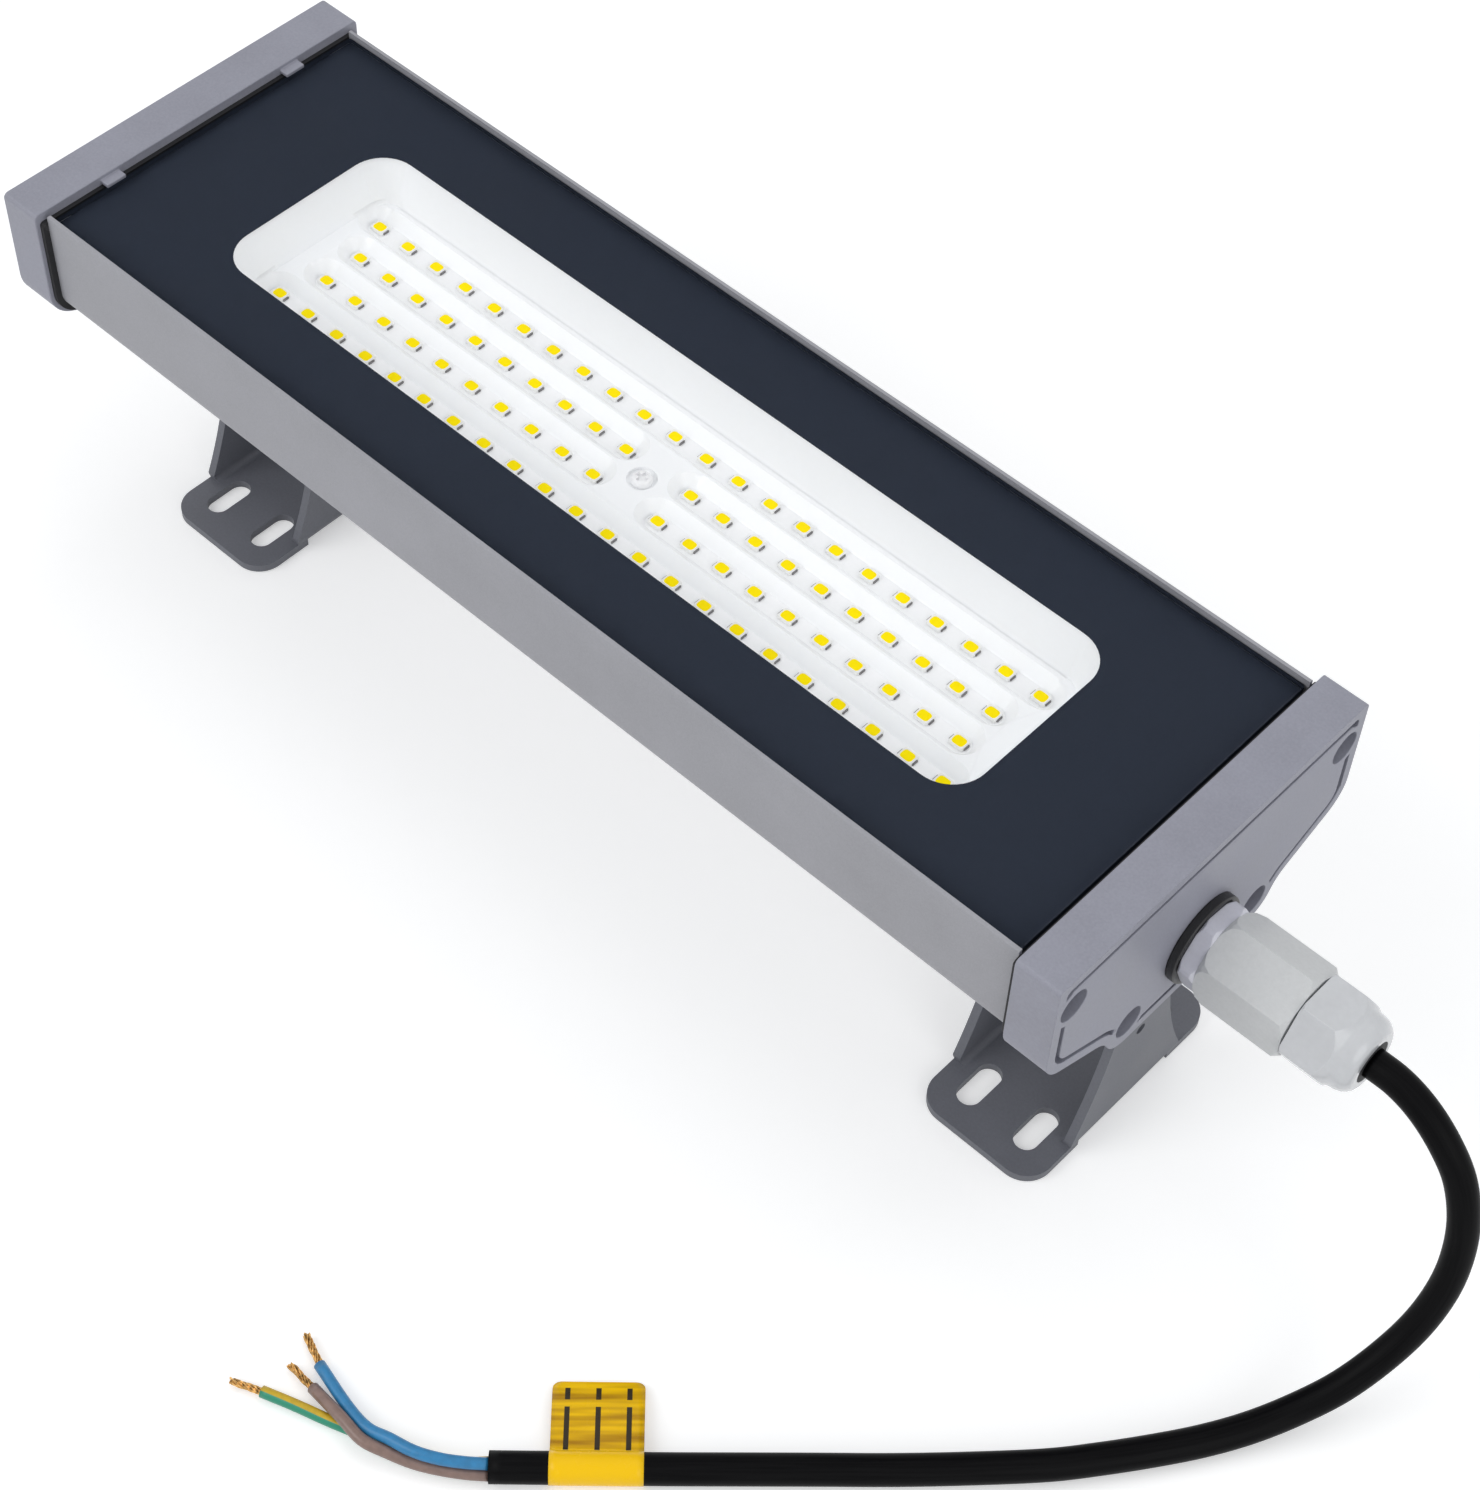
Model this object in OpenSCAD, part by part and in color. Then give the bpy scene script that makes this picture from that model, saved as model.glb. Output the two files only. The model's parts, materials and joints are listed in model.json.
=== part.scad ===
// Slim LED floodlight: an extruded aluminium body between two cast end caps,
// a glass front with a printed border, and two steel foot brackets on pivot bolts.
// +X runs along the body towards the cable gland, +Z is the way the light shines.
// The origin is under the middle of the body, on the surface that the feet stand on.

/* [Body] */
// Length over the two end caps
overall_l = 286; // [250:1:340]
// Width of the extruded body
body_w = 85.2; // [82:0.2:100]
// Wall of the extruded body
body_wall = 2; // [1.6:0.1:2.4]
// Thickness of the inner floor under the LED board
floor_t = 3; // [2.5:0.1:4]
// Thickness of the thin lip beside the glass
lip_t = 0.9; // [0.7:0.1:1.2]
// Height of the lip above the glass
lip_h = 1; // [1:0.1:3]
// Height of the driver case under the inner floor
driver_h = 10.2; // [10:0.1:13]
// Free height between the driver and the underside of the body
driver_room = 6.1; // [5:0.1:8]

/* [End caps] */
// Thickness of an end cap
cap_t = 10.2; // [9:0.1:14]
// How far a cap stands out past the side of the body
cap_proud = 2.4; // [1.5:0.1:3]
// How far a cap stands above the lips of the body
cap_rise = 0.9; // [0.5:0.1:1.5]
// Straight height of the cap side before its corner
cap_side_h = 22.7; // [20:0.1:24]
// Radius of the lower corners
cap_corner_r = 8; // [6:0.5:10]
// Radius of the two rounded feet of the cap outline
foot_r = 6.2; // [5.6:0.1:7]
// Distance of each lower screw from the middle
foot_y = 19; // [17:0.5:21]
// Distance of each upper screw from the side of the body
port_inset = 2.8; // [2.8:0.1:3.4]
// Radius of the deep pocket over each cap screw
counterbore_r = 3.6; // [3.3:0.1:3.8]
// Depth of the pocket over each cap screw
counterbore_d = 5.6; // [4:0.1:6]
// Width of the rim outside the groove
rim_t = 2.4; // [2:0.1:3]
// Width of the groove round the cap face
groove_w = 1.2; // [0.8:0.1:1.6]
// Depth of the groove round the cap face
groove_d = 2; // [1:0.1:2.4]

/* [Glass and window] */
// Thickness of the cover glass
glass_t = 3; // [3:0.1:4]
// Length of the clear window
window_l = 202; // [190:1:206]
// Width of the clear window
window_w = 47; // [44:0.5:50]
// Corner radius of the clear window
window_r = 8.3; // [7:0.1:10]

/* [LEDs] */
// Distance between neighbouring LEDs in a row
led_pitch = 8.8; // [8:0.1:8.9]
// Number of LEDs in each outer row
outer_leds = 22; // [18:2:22]
// Number of LEDs in each half of an inner row
inner_leds = 10; // [8:1:10]
// Gap between the two LEDs beside the centre screw
centre_gap = 18.1; // [16:0.1:19]
// Distance of the outer rows from the middle
outer_row_y = 14.3; // [13.5:0.1:14.8]
// Distance of the inner rows from the middle
inner_row_y = 4.8; // [4.6:0.1:5.4]
// Length of an LED package
led_l = 3.5; // [2.8:0.1:3.8]
// Width of an LED package
led_w = 2.8; // [2.4:0.1:3.2]
// Height of an LED package
led_h = 0.8; // [0.6:0.1:1]
// Height of the white reflector tray
tray_h = 12.7; // [11:0.1:13]

/* [Brackets] */
// Length of a bracket foot across the body
foot_plate_l = 59.2; // [56:0.2:64]
// Width of a bracket along the body
bracket_w = 31.3; // [31:0.1:34]
// Sheet thickness of a bracket
sheet_t = 2; // [1.5:0.1:2.2]
// Corner radius of a bracket foot
foot_plate_r = 6.3; // [5:0.1:8]
// Half width of the upright where it leaves the foot
upright_half_w = 17.3; // [16:0.1:19]
// Radius of the rounded top of the upright
upright_top_r = 7.4; // [6.8:0.1:7.6]
// Height of the pivot above the surface
pivot_h = 43.5; // [42:0.5:50]
// Distance of the pivot below the body
pivot_drop = 11.4; // [11:0.1:14]
// Distance of the small locating hole below the pivot
index_drop = 16.1; // [14:0.1:18]
// Distance of the gland side bracket from its end of the lamp
near_bracket_end = 22.8; // [22:0.1:25]
// Distance of the other bracket from its end of the lamp
far_bracket_end = 33.4; // [25:0.1:43]
// Width of a mounting slot
slot_w = 5.4; // [5:0.1:6.4]
// Length of a mounting slot
slot_l = 11.6; // [9:0.1:12]
// Distance between the two slots of a row
slot_row_gap = 15; // [14:0.5:16]
// Distance between the two rows of slots
slot_span = 36.6; // [35:0.2:40]

/* [Cable gland] */
// Height of the gland axis above the foot of the end cap
gland_rise = 14.7; // [13.5:0.1:14.7]
// Size of the gland hexagons across their flats
gland_af = 17.5; // [17:0.1:19]
// Length of the hexagonal gland body
gland_body_l = 19.8; // [19.8:0.1:20]
// Diameter of the cable
cable_d = 6.2; // [5.8:0.1:6.4]

/* [Hidden] */

$fn = 48;
over = 1; // overrun of every cut
seat_gap = 0.1; // play between flat faces that must not rub
fit_gap = 0.3; // play between pieces that drop into each other
turn_gap = 0.08; // radial play of a pivot in its hole
thread_gap = 0.02; // radial play of a screw in its thread
loose_gap = 0.2; // radial play between a nut and the thread it covers
bite = 0.01; // how far shapes of one piece run into each other

// Depths below the top of the end caps
glass_top = cap_rise + lip_h;
glass_bottom = glass_top + glass_t;
print_t = 0.2;
print_bottom = glass_bottom + print_t;
seal_t = 0.6;
ledge_top = print_bottom + seal_t;
port_hole_r = 1.45;
port_wall = 1.9;
port_cover = 1.9;
port_depth = ledge_top + port_cover + port_hole_r;
ledge_bottom = port_depth + port_hole_r + port_wall;
board_top = print_bottom + tray_h;
board_t = 1.5;
pad_t = 0.4;
floor_top = board_top + board_t + pad_t;
floor_bottom = floor_top + floor_t;
driver_top = floor_bottom + seat_gap;
body_bottom = driver_top + driver_h + driver_room + body_wall;
cap_h = body_bottom + cap_proud;
foot_depth = cap_h - foot_r;
gland_depth = cap_h - gland_rise;
top_z = pivot_h + pivot_drop + body_bottom;

// Lengths along the body
half_l = overall_l / 2;
gasket_t = 1;
body_half_l = half_l - cap_t - gasket_t;
glass_end_gap = 0.6;
glass_half_l = body_half_l - glass_end_gap;
near_bracket_x = half_l - near_bracket_end;
far_bracket_x = far_bracket_end - half_l;

// Widths
cap_half_w = body_w / 2 + cap_proud;
port_y = body_w / 2 - port_inset;
glass_half_w = body_w / 2 - lip_t - fit_gap;
ledge_w = 5;
ledge_y = body_w / 2 - lip_t - ledge_w;

// Outline of the end caps: the body and the cavities are insets of the same curve
cap_edge_r = 1.2;
foot_drop = 3.8; // how far a foot stands below the slope beside it
fillet_r = 8;
corner_c = [cap_half_w - cap_corner_r, -cap_side_h];
foot_c = [foot_y, -foot_depth];
slope_r = foot_r - foot_drop;
slope_v = foot_c - corner_c;
slope_a = atan2(slope_v[1], slope_v[0]) + acos((cap_corner_r - slope_r) / norm(slope_v));
slope_n = [cos(slope_a), sin(slope_a)];
slope_u = [slope_n[1], -slope_n[0]];
fillet_run = sqrt(pow(fillet_r + foot_r, 2) - pow(fillet_r + slope_r, 2));
fillet_c = foot_c + slope_n * (slope_r + fillet_r) - slope_u * fillet_run;
fillet_v = foot_c - fillet_c;
fillet_a = atan2(fillet_v[1], fillet_v[0]);

function arc(c, r, a0, a1, steps) =
    [for (i = [0 : steps]) c + r * [cos(a0 + (a1 - a0) * i / steps), sin(a0 + (a1 - a0) * i / steps)]];

function half_outline(inset, top, edge) = concat(
    arc([cap_half_w - inset - edge, -top - edge], edge, 90, 0, 4),
    arc(corner_c, cap_corner_r - inset, 0, slope_a, 10),
    arc(fillet_c, fillet_r + inset, slope_a + 180, fillet_a, 6),
    arc(foot_c, foot_r - inset, fillet_a - 180, -90, 10));

function mirrored(points) = [for (i = [len(points) - 1 : -1 : 0]) [-points[i][0], points[i][1]]];

module outline(inset, top, edge) {
    right = half_outline(inset, top, edge);
    translate([0, top_z]) polygon(concat(right, mirrored(right)));
}

// Draws a YZ shape and pushes it along +X from x0
module along_x(x0, length) {
    translate([x0, 0, 0]) rotate([90, 0, 90]) linear_extrude(length) children();
}

// A YZ rectangle given by its half width and the depths of its edges
module band(half_w, from, to) {
    translate([-half_w, top_z - to]) square([2 * half_w, to - from]);
}

// The four screw places on an end face
port_places = [[port_y, port_depth], [-port_y, port_depth], [foot_y, foot_depth], [-foot_y, foot_depth]];

module at_ports() {
    for (p = port_places) translate([p[0], top_z - p[1]]) children();
}

module rounded_plate(l, w, r) {
    union() {
        square([l - 2 * r, w], center = true);
        square([l, w - 2 * r], center = true);
        for (x = [-1, 1], y = [-1, 1]) translate([x * (l / 2 - r), y * (w / 2 - r)]) circle(r);
    }
}

// Extruded body
driver_l = 120;
driver_w = 40;
driver_x = 14; // middle of the driver along the body
ear_l = 9; // fixing ear at each end of the driver
ear_t = 1.5;
ear_x = driver_l / 2 + ear_l / 2;
small_screw_r = 1.5;
small_head_r = 2.8;
small_head_h = 1.6;
grommet_r = 3.6;
port_boss_r = 3.5;
hanger_screw_r = 2;
hanger_screw_y = 12.3;
hanger_screw_pitch = 13;
hole_share = 0.8; // depth of a blind screw hole over the thickness of the floor
screw_in = floor_t / 2; // how far the small screws reach into the floor
hanger_screws_x = [for (b = [far_bracket_x, near_bracket_x], s = [-1, 1]) b + s * hanger_screw_pitch / 2];

module body_section() {
    difference() {
        outline(cap_proud, cap_rise, lip_t / 3);
        band(glass_half_w + fit_gap, 0, ledge_top);
        band(ledge_y, ledge_top - over, ledge_bottom + over);
        band(body_w / 2 - body_wall, ledge_bottom, floor_top);
        difference() {
            intersection() {
                outline(cap_proud + body_wall, ledge_bottom, bite);
                band(cap_half_w, floor_bottom, cap_h);
            }
            at_ports() circle(port_boss_r);
        }
        at_ports() circle(port_hole_r);
    }
}

module body_extrusion() color([0.66, 0.66, 0.68]) difference() {
    along_x(-body_half_l, 2 * body_half_l) body_section();
    translate([grommet_x, lead_y, top_z - floor_bottom - over]) cylinder(h = floor_t + 2 * over, r = grommet_r);
    for (s = [-1, 1]) translate([driver_x + s * ear_x, 0, top_z - floor_bottom - over])
        cylinder(h = floor_t * hole_share + over, r = small_screw_r);
    for (p = concat(board_screws_at, [[rows_x, 0]])) translate([p[0], p[1], top_z - floor_top - floor_t * hole_share])
        cylinder(h = floor_t * hole_share + over, r = small_screw_r);
    for (x = hanger_screws_x, y = [-1, 1]) translate([x, y * hanger_screw_y, top_z - body_bottom - over])
        cylinder(h = body_wall + 2 * over, r = hanger_screw_r);
}

// End caps
seal_land = 1.4; // width of the gasket inside the wall of the body
cap_inset = cap_proud + body_wall + seal_land; // inset of the pocket inside a cap
cap_floor_t = 4.6; // metal left behind the pocket
pocket_d = cap_t - cap_floor_t;
cap_boss_r = 5;
cap_hole_r = 1.75;
rim_ring_w = 1.4; // land left round each screw pocket
gland_x = half_l;
gland_z = top_z - gland_depth;
thread_r = 6.6;
tab_y = 25;
tab_w = 5;
tab_l = 0.7;
tab_t = 0.9;

// A cap drawn for the +X end, with its outer face at half_l
module plain_cap() difference() {
    along_x(half_l - cap_t, cap_t) outline(0, 0, cap_edge_r);
    along_x(half_l - cap_t - over, pocket_d + over) difference() {
        outline(cap_inset, glass_bottom, cap_edge_r);
        at_ports() circle(cap_boss_r);
    }
    along_x(half_l - groove_d, groove_d + over) difference() {
        outline(rim_t, rim_t, cap_edge_r);
        outline(rim_t + groove_w, rim_t + groove_w, cap_edge_r);
        at_ports() circle(counterbore_r + rim_ring_w);
    }
    along_x(half_l - counterbore_d, counterbore_d + over) at_ports() circle(counterbore_r);
    along_x(half_l - cap_t - over, cap_t + 2 * over) at_ports() circle(cap_hole_r);
}

module end_cap_gland() color([0.57, 0.58, 0.62]) difference() {
    plain_cap();
    translate([gland_x - cap_t - over, 0, gland_z]) rotate([0, 90, 0])
        cylinder(h = cap_t + 2 * over, r = thread_r + seat_gap);
    translate([gland_x - cap_floor_t - over, -earth_y, top_z - earth_depth]) rotate([0, 90, 0])
        cylinder(h = cap_floor_t / 2 + over, r = small_screw_r);
}

module end_cap_far() color([0.57, 0.58, 0.62]) union() {
    mirror([1, 0, 0]) plain_cap();
    for (s = [-1, 1]) translate([-half_l + cap_t - tab_t, s * tab_y - tab_w / 2, top_z - glass_top + seat_gap])
        cube([tab_t + gasket_t + glass_end_gap + tab_l, tab_w, tab_t]);
}

// Cap gaskets, the shape of the end of the body
gasket_w = body_wall + seal_land;
gasket_hole_r = port_hole_r + fit_gap;
gasket_proud = 1.4; // how far the gasket shows past the sides of the body

module gasket_section() difference() {
    union() {
        difference() {
            union() {
                outline(cap_proud + seat_gap, glass_top + fit_gap, lip_t);
                intersection() {
                    outline(cap_proud - gasket_proud, glass_top + fit_gap, lip_t);
                    band(cap_half_w, 0, cap_side_h + cap_corner_r);
                }
            }
            outline(cap_proud + gasket_w, ledge_bottom, lip_t);
        }
        intersection() {
            outline(cap_proud + seat_gap, glass_top + fit_gap, lip_t);
            at_ports() circle(port_boss_r);
        }
    }
    at_ports() circle(gasket_hole_r);
}

module cap_gasket_gland() color([0.09, 0.09, 0.1]) along_x(body_half_l, gasket_t) gasket_section();

module cap_gasket_far() color([0.09, 0.09, 0.1]) mirror([1, 0, 0]) cap_gasket_gland();

// Cap screws: pan heads at the bottom of their pockets
cap_screw_r = port_hole_r - thread_gap;
cap_head_r = 2.9;
cap_head_h = 2.2;
cap_screw_l = 16;
cross_w = 0.9; // width of a cross recess
cross_share = 1.2; // length of a cross recess over the radius of its head
tip_share = 0.6; // radius of a screw tip over the radius of its shank
pan_shares = [[1, 0], [1, 0.45], [0.86, 0.8], [0.55, 1]]; // outline of a pan head over its radius and height
low_shares = [[1, 0], [1, 0.3], [0.8, 0.8], [0.5, 1]]; // the same for a low button head

// A screw along +X: its head sits on x = 0 and its shank runs to -X
module pan_screw(shank_r, head_r, head_h, length) difference() {
    rotate([0, 90, 0]) rotate_extrude() polygon(concat(
        [[0, -length], [shank_r * tip_share, -length], [shank_r, -length + shank_r], [shank_r, 0]],
        [for (p = pan_shares) [p[0] * head_r, p[1] * head_h]], [[0, head_h]]));
    for (a = [0, 90]) translate([head_h / 2, 0, 0]) rotate([a, 0, 0])
        translate([0, -head_r * cross_share / 2, -cross_w / 2]) cube([head_h, head_r * cross_share, cross_w]);
}

module cap_screws_gland() color([0.6, 0.6, 0.62]) for (p = port_places)
    translate([half_l - counterbore_d + thread_gap, p[0], top_z - p[1]])
        pan_screw(cap_screw_r, cap_head_r, cap_head_h, cap_screw_l);

module cap_screws_far() mirror([1, 0, 0]) cap_screws_gland();

// Cover glass, the border printed under it and the seal below
module cover_glass() color([0.8, 0.88, 0.9, 0.4])
    translate([-glass_half_l, -glass_half_w, top_z - glass_bottom])
        cube([2 * glass_half_l, 2 * glass_half_w, glass_t]);

module glass_border() color([0.19, 0.21, 0.25]) translate([0, 0, top_z - print_bottom])
    linear_extrude(print_t) difference() {
        square([2 * glass_half_l, 2 * glass_half_w], center = true);
        rounded_plate(window_l, window_w, window_r);
    }

module glass_seal() color([0.1, 0.1, 0.11]) translate([0, 0, top_z - ledge_top])
    linear_extrude(seal_t) difference() {
        square([2 * glass_half_l, 2 * glass_half_w], center = true);
        square([2 * (glass_half_l - ledge_w / 2), 2 * ledge_y], center = true);
    }

// Reflector tray: a sloped tray with a trough along every row of LEDs
tray_wall = 1.4;
tray_rim_w = 3;
tray_rim_t = 1;
tray_floor_h = 2.6; // height of the ridges above the board
tray_corner = [window_l / 2 - window_r, window_w / 2 - window_r]; // centres of the rounded corners
tray_top_r = window_r + fit_gap;
tray_low_r = 4.9;
trough_half_w = 2.25;
trough_flank = 2.3; // how far a flank runs out on each side
trough_end = 2.6; // from the last LED to the round end of a trough
outer_row_half = (outer_leds - 1) * led_pitch / 2;
rows_x = -1; // the LED rows and the centre screw sit a little off the middle
inner_row_start = centre_gap / 2;
inner_row_end = inner_row_start + (inner_leds - 1) * led_pitch;
board_z = top_z - board_top;
centre_head_r = 2.3;
centre_head_h = 1.4;
recess_d = 0.8; // round recess under the head of the centre screw

// A rounded plan whose edges lean out from radius r0 to r1 over the height h
module flared(corner, r0, r1, h) union() {
    for (x = [-1, 1], y = [-1, 1]) translate([x * corner[0], y * corner[1], 0]) cylinder(h = h, r1 = r0, r2 = r1);
    rotate([90, 0, 90]) translate([0, 0, -corner[0]]) linear_extrude(2 * corner[0])
        polygon([[-corner[1] - r0, 0], [corner[1] + r0, 0], [corner[1] + r1, h], [-corner[1] - r1, h]]);
    rotate([90, 0, 0]) translate([0, 0, -corner[1]]) linear_extrude(2 * corner[1])
        polygon([[-corner[0] - r0, 0], [corner[0] + r0, 0], [corner[0] + r1, h], [-corner[0] - r1, h]]);
}

// A trough with round ends from x0 to x1
module trough(x0, x1, y) translate([(x0 + x1) / 2, y, board_z]) {
    half = (x1 - x0) / 2 - trough_half_w;
    rise = trough_flank / tray_floor_h;
    r_low = trough_half_w - over * rise;
    r_high = trough_half_w + trough_flank + over * rise;
    h = tray_floor_h + 2 * over;
    translate([0, 0, -over]) {
        for (s = [-1, 1]) translate([s * half, 0, 0]) cylinder(h = h, r1 = r_low, r2 = r_high);
        rotate([90, 0, 90]) translate([0, 0, -half]) linear_extrude(2 * half)
            polygon([[-r_low, 0], [r_low, 0], [r_high, h], [-r_high, h]]);
    }
}

module reflector() color([0.95, 0.95, 0.95]) difference() {
    union() {
        translate([0, 0, board_z])
            flared(tray_corner, tray_low_r + tray_wall, tray_top_r + tray_wall, tray_h);
        translate([0, 0, board_z + tray_h - tray_rim_t]) linear_extrude(tray_rim_t)
            rounded_plate(2 * (tray_corner[0] + tray_top_r + tray_rim_w),
                2 * (tray_corner[1] + tray_top_r + tray_rim_w), tray_top_r);
    }
    translate([0, 0, board_z + tray_floor_h]) flared(tray_corner, tray_low_r, tray_top_r, tray_h - tray_floor_h);
    translate([0, 0, board_z + tray_h - seat_gap]) linear_extrude(over)
        rounded_plate(2 * (tray_corner[0] + tray_top_r), 2 * (tray_corner[1] + tray_top_r), tray_top_r);
    for (s = [-1, 1]) {
        trough(rows_x - outer_row_half - trough_end, rows_x + outer_row_half + trough_end, s * outer_row_y);
        for (t = [-1, 1]) {
            a = rows_x + t * (inner_row_start - trough_end);
            b = rows_x + t * (inner_row_end + trough_end);
            trough(min(a, b), max(a, b), s * inner_row_y);
        }
    }
    for (p = board_screws_at) translate([p[0], p[1], board_z - over])
        cylinder(h = board_head_h + over + fit_gap, r = board_head_r + fit_gap);
    translate([grommet_x, lead_y, board_z - over]) cylinder(h = tray_floor_h / 2 + over, r = lead_hole_r);
    translate([rows_x, 0, board_z - over]) cylinder(h = tray_floor_h + 2 * over, r = small_screw_r + seat_gap / 2);
    translate([rows_x, 0, board_z + tray_floor_h - recess_d]) cylinder(h = recess_d + over, r = centre_head_r + 3 * fit_gap);
}

module reflector_screw() color([0.9, 0.9, 0.9]) translate([rows_x, 0, board_z + tray_floor_h - recess_d]) rotate([0, -90, 0])
    pan_screw(small_screw_r - thread_gap, centre_head_r, centre_head_h,
        tray_floor_h - recess_d + board_t + pad_t + screw_in);

// LED board, its LEDs, the pad under it and its screws
board_margin = 4;
board_half_l = outer_row_half + led_l / 2 + board_margin;
board_half_w = outer_row_y + led_w / 2 + board_margin;
board_screw_edge = 3.7; // from the end of the board to its screw, past the last LEDs
board_screws_at = [for (s = [-1, 1]) [s * (board_half_l - board_screw_edge), 0]];
board_head_r = 2;
board_head_h = 1;
board_hole_r = small_screw_r + seat_gap;
phosphor_l_share = 0.72;
phosphor_w_share = 0.76;
phosphor_t = 0.1;
lead_r = 0.8;
lead_gap = 1.8; // distance between the two leads to the board
lead_hole_r = lead_r + lead_gap / 2 + fit_gap;
lead_edge = 3; // from the end of the board to the middle of the lead hole
lead_y = 6; // the leads pass beside the screw at the end of the board
grommet_x = lead_edge - board_half_l;

module at_leds() {
    for (s = [-1, 1]) {
        for (i = [0 : outer_leds - 1])
            translate([rows_x - outer_row_half + i * led_pitch, s * outer_row_y, board_z]) children();
        for (t = [-1, 1], i = [0 : inner_leds - 1])
            translate([rows_x + t * (inner_row_start + i * led_pitch), s * inner_row_y, board_z]) children();
    }
}

module board_holes(r, z, h) {
    for (p = concat(board_screws_at, [[rows_x, 0]])) translate([p[0], p[1], z - over]) cylinder(h = h + 2 * over, r = r);
    translate([grommet_x, lead_y, z - over]) cylinder(h = h + 2 * over, r = lead_hole_r);
}

module led_board() color([0.93, 0.94, 0.95]) difference() {
    translate([-board_half_l, -board_half_w, board_z - board_t]) cube([2 * board_half_l, 2 * board_half_w, board_t]);
    board_holes(board_hole_r, board_z - board_t, board_t);
}

module led_packages() color([0.96, 0.96, 0.92]) at_leds()
    translate([-led_l / 2, -led_w / 2, 0]) cube([led_l, led_w, led_h]);

module led_phosphors() color([0.98, 0.85, 0.1]) at_leds()
    translate([-led_l * phosphor_l_share / 2, -led_w * phosphor_w_share / 2, led_h])
        cube([led_l * phosphor_l_share, led_w * phosphor_w_share, phosphor_t]);

module thermal_pad() color([0.75, 0.75, 0.8]) difference() {
    translate([-board_half_l, -board_half_w, board_z - board_t - pad_t])
        cube([2 * board_half_l, 2 * board_half_w, pad_t]);
    board_holes(board_hole_r, board_z - board_t - pad_t, pad_t);
}

module board_screws() color([0.7, 0.7, 0.72]) for (p = board_screws_at) translate([p[0], p[1], board_z])
    rotate([0, -90, 0]) pan_screw(small_screw_r - thread_gap, board_head_r, board_head_h, board_t + pad_t + screw_in);

// Driver under the floor, held by a screw at each end
case_wall = 1.5;
lid_t = 1.2;

module driver_case() color([0.8, 0.8, 0.8]) difference() {
    union() {
        translate([driver_x - driver_l / 2, -driver_w / 2, top_z - driver_top - driver_h + lid_t])
            cube([driver_l, driver_w, driver_h - lid_t]);
        for (s = [-1, 1]) translate([driver_x + s * ear_x - ear_l / 2 - bite, -ear_l / 2, top_z - driver_top - ear_t])
            cube([ear_l + 2 * bite, ear_l, ear_t]);
    }
    translate([driver_x - driver_l / 2 + case_wall, -driver_w / 2 + case_wall, top_z - driver_top - driver_h])
        cube([driver_l - 2 * case_wall, driver_w - 2 * case_wall, driver_h - case_wall]);
    for (s = [-1, 1]) {
        translate([driver_x + s * ear_x, 0, top_z - driver_top - ear_t - over])
            cylinder(h = ear_t + 2 * over, r = small_screw_r + seat_gap);
        translate([driver_x + s * (driver_l / 2 - case_wall), s > 0 ? 0 : lead_y, s > 0 ? gland_z : lead_z]) rotate([0, 90, 0])
            cylinder(h = 4 * case_wall, r = driver_hole_r, center = true);
    }
}

module driver_lid() color([0.2, 0.2, 0.22])
    translate([driver_x - driver_l / 2, -driver_w / 2, top_z - driver_top - driver_h])
        cube([driver_l, driver_w, lid_t]);

module driver_screws() color([0.7, 0.7, 0.72]) for (s = [-1, 1])
    translate([driver_x + s * ear_x, 0, top_z - driver_top - ear_t]) rotate([0, 90, 0])
        pan_screw(small_screw_r - thread_gap, small_head_r, small_head_h, ear_t + screw_in);

// Leads inside: two to the board, three from the cable, as straight and bent rods
lead_bend_r = 4;
lead_sides = 16;
driver_hole_r = 2.7;
lead_z = top_z - driver_top - driver_h / 2;
mains_spread = 1.7; // distance between neighbouring mains leads
sheath_in = 8; // how far the cable runs on past the end cap, inside the body

module bend(r, a) rotate_extrude(angle = a) translate([r, 0]) circle(lead_r, $fn = lead_sides);

module output_leads() color([0.85, 0.2, 0.15]) for (s = [-1, 1]) {
    rise_x = grommet_x;
    translate([rise_x + lead_bend_r, lead_y + s * lead_gap / 2, lead_z]) rotate([0, 90, 0])
        cylinder(h = driver_x - driver_l / 2 + 2 * case_wall - rise_x - lead_bend_r, r = lead_r, $fn = lead_sides);
    translate([rise_x + lead_bend_r, lead_y + s * lead_gap / 2, lead_z + lead_bend_r]) rotate([90, 180, 0]) bend(lead_bend_r, 90);
    translate([rise_x, lead_y + s * lead_gap / 2, lead_z + lead_bend_r])
        cylinder(h = board_z + tray_floor_h / 4 - lead_z - lead_bend_r, r = lead_r, $fn = lead_sides);
}

module lead_grommet() color([0.1, 0.1, 0.1]) difference() {
    translate([grommet_x, lead_y, top_z - floor_bottom]) cylinder(h = floor_t, r = grommet_r - seat_gap);
    for (s = [-1, 1]) translate([grommet_x, lead_y + s * lead_gap / 2, top_z - floor_bottom - over])
        cylinder(h = floor_t + 2 * over, r = lead_r + seat_gap / 2, $fn = lead_sides);
}

inner_cable_x = half_l - cap_t - sheath_in;
mains_start_x = driver_x + driver_l / 2 - 2 * case_wall;

module mains_leads() color([0.2, 0.45, 0.75]) for (i = [-1 : 1])
    translate([mains_start_x, i * mains_spread, gland_z]) rotate([0, 90, 0])
        cylinder(h = inner_cable_x - mains_start_x, r = lead_r, $fn = lead_sides);

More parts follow.
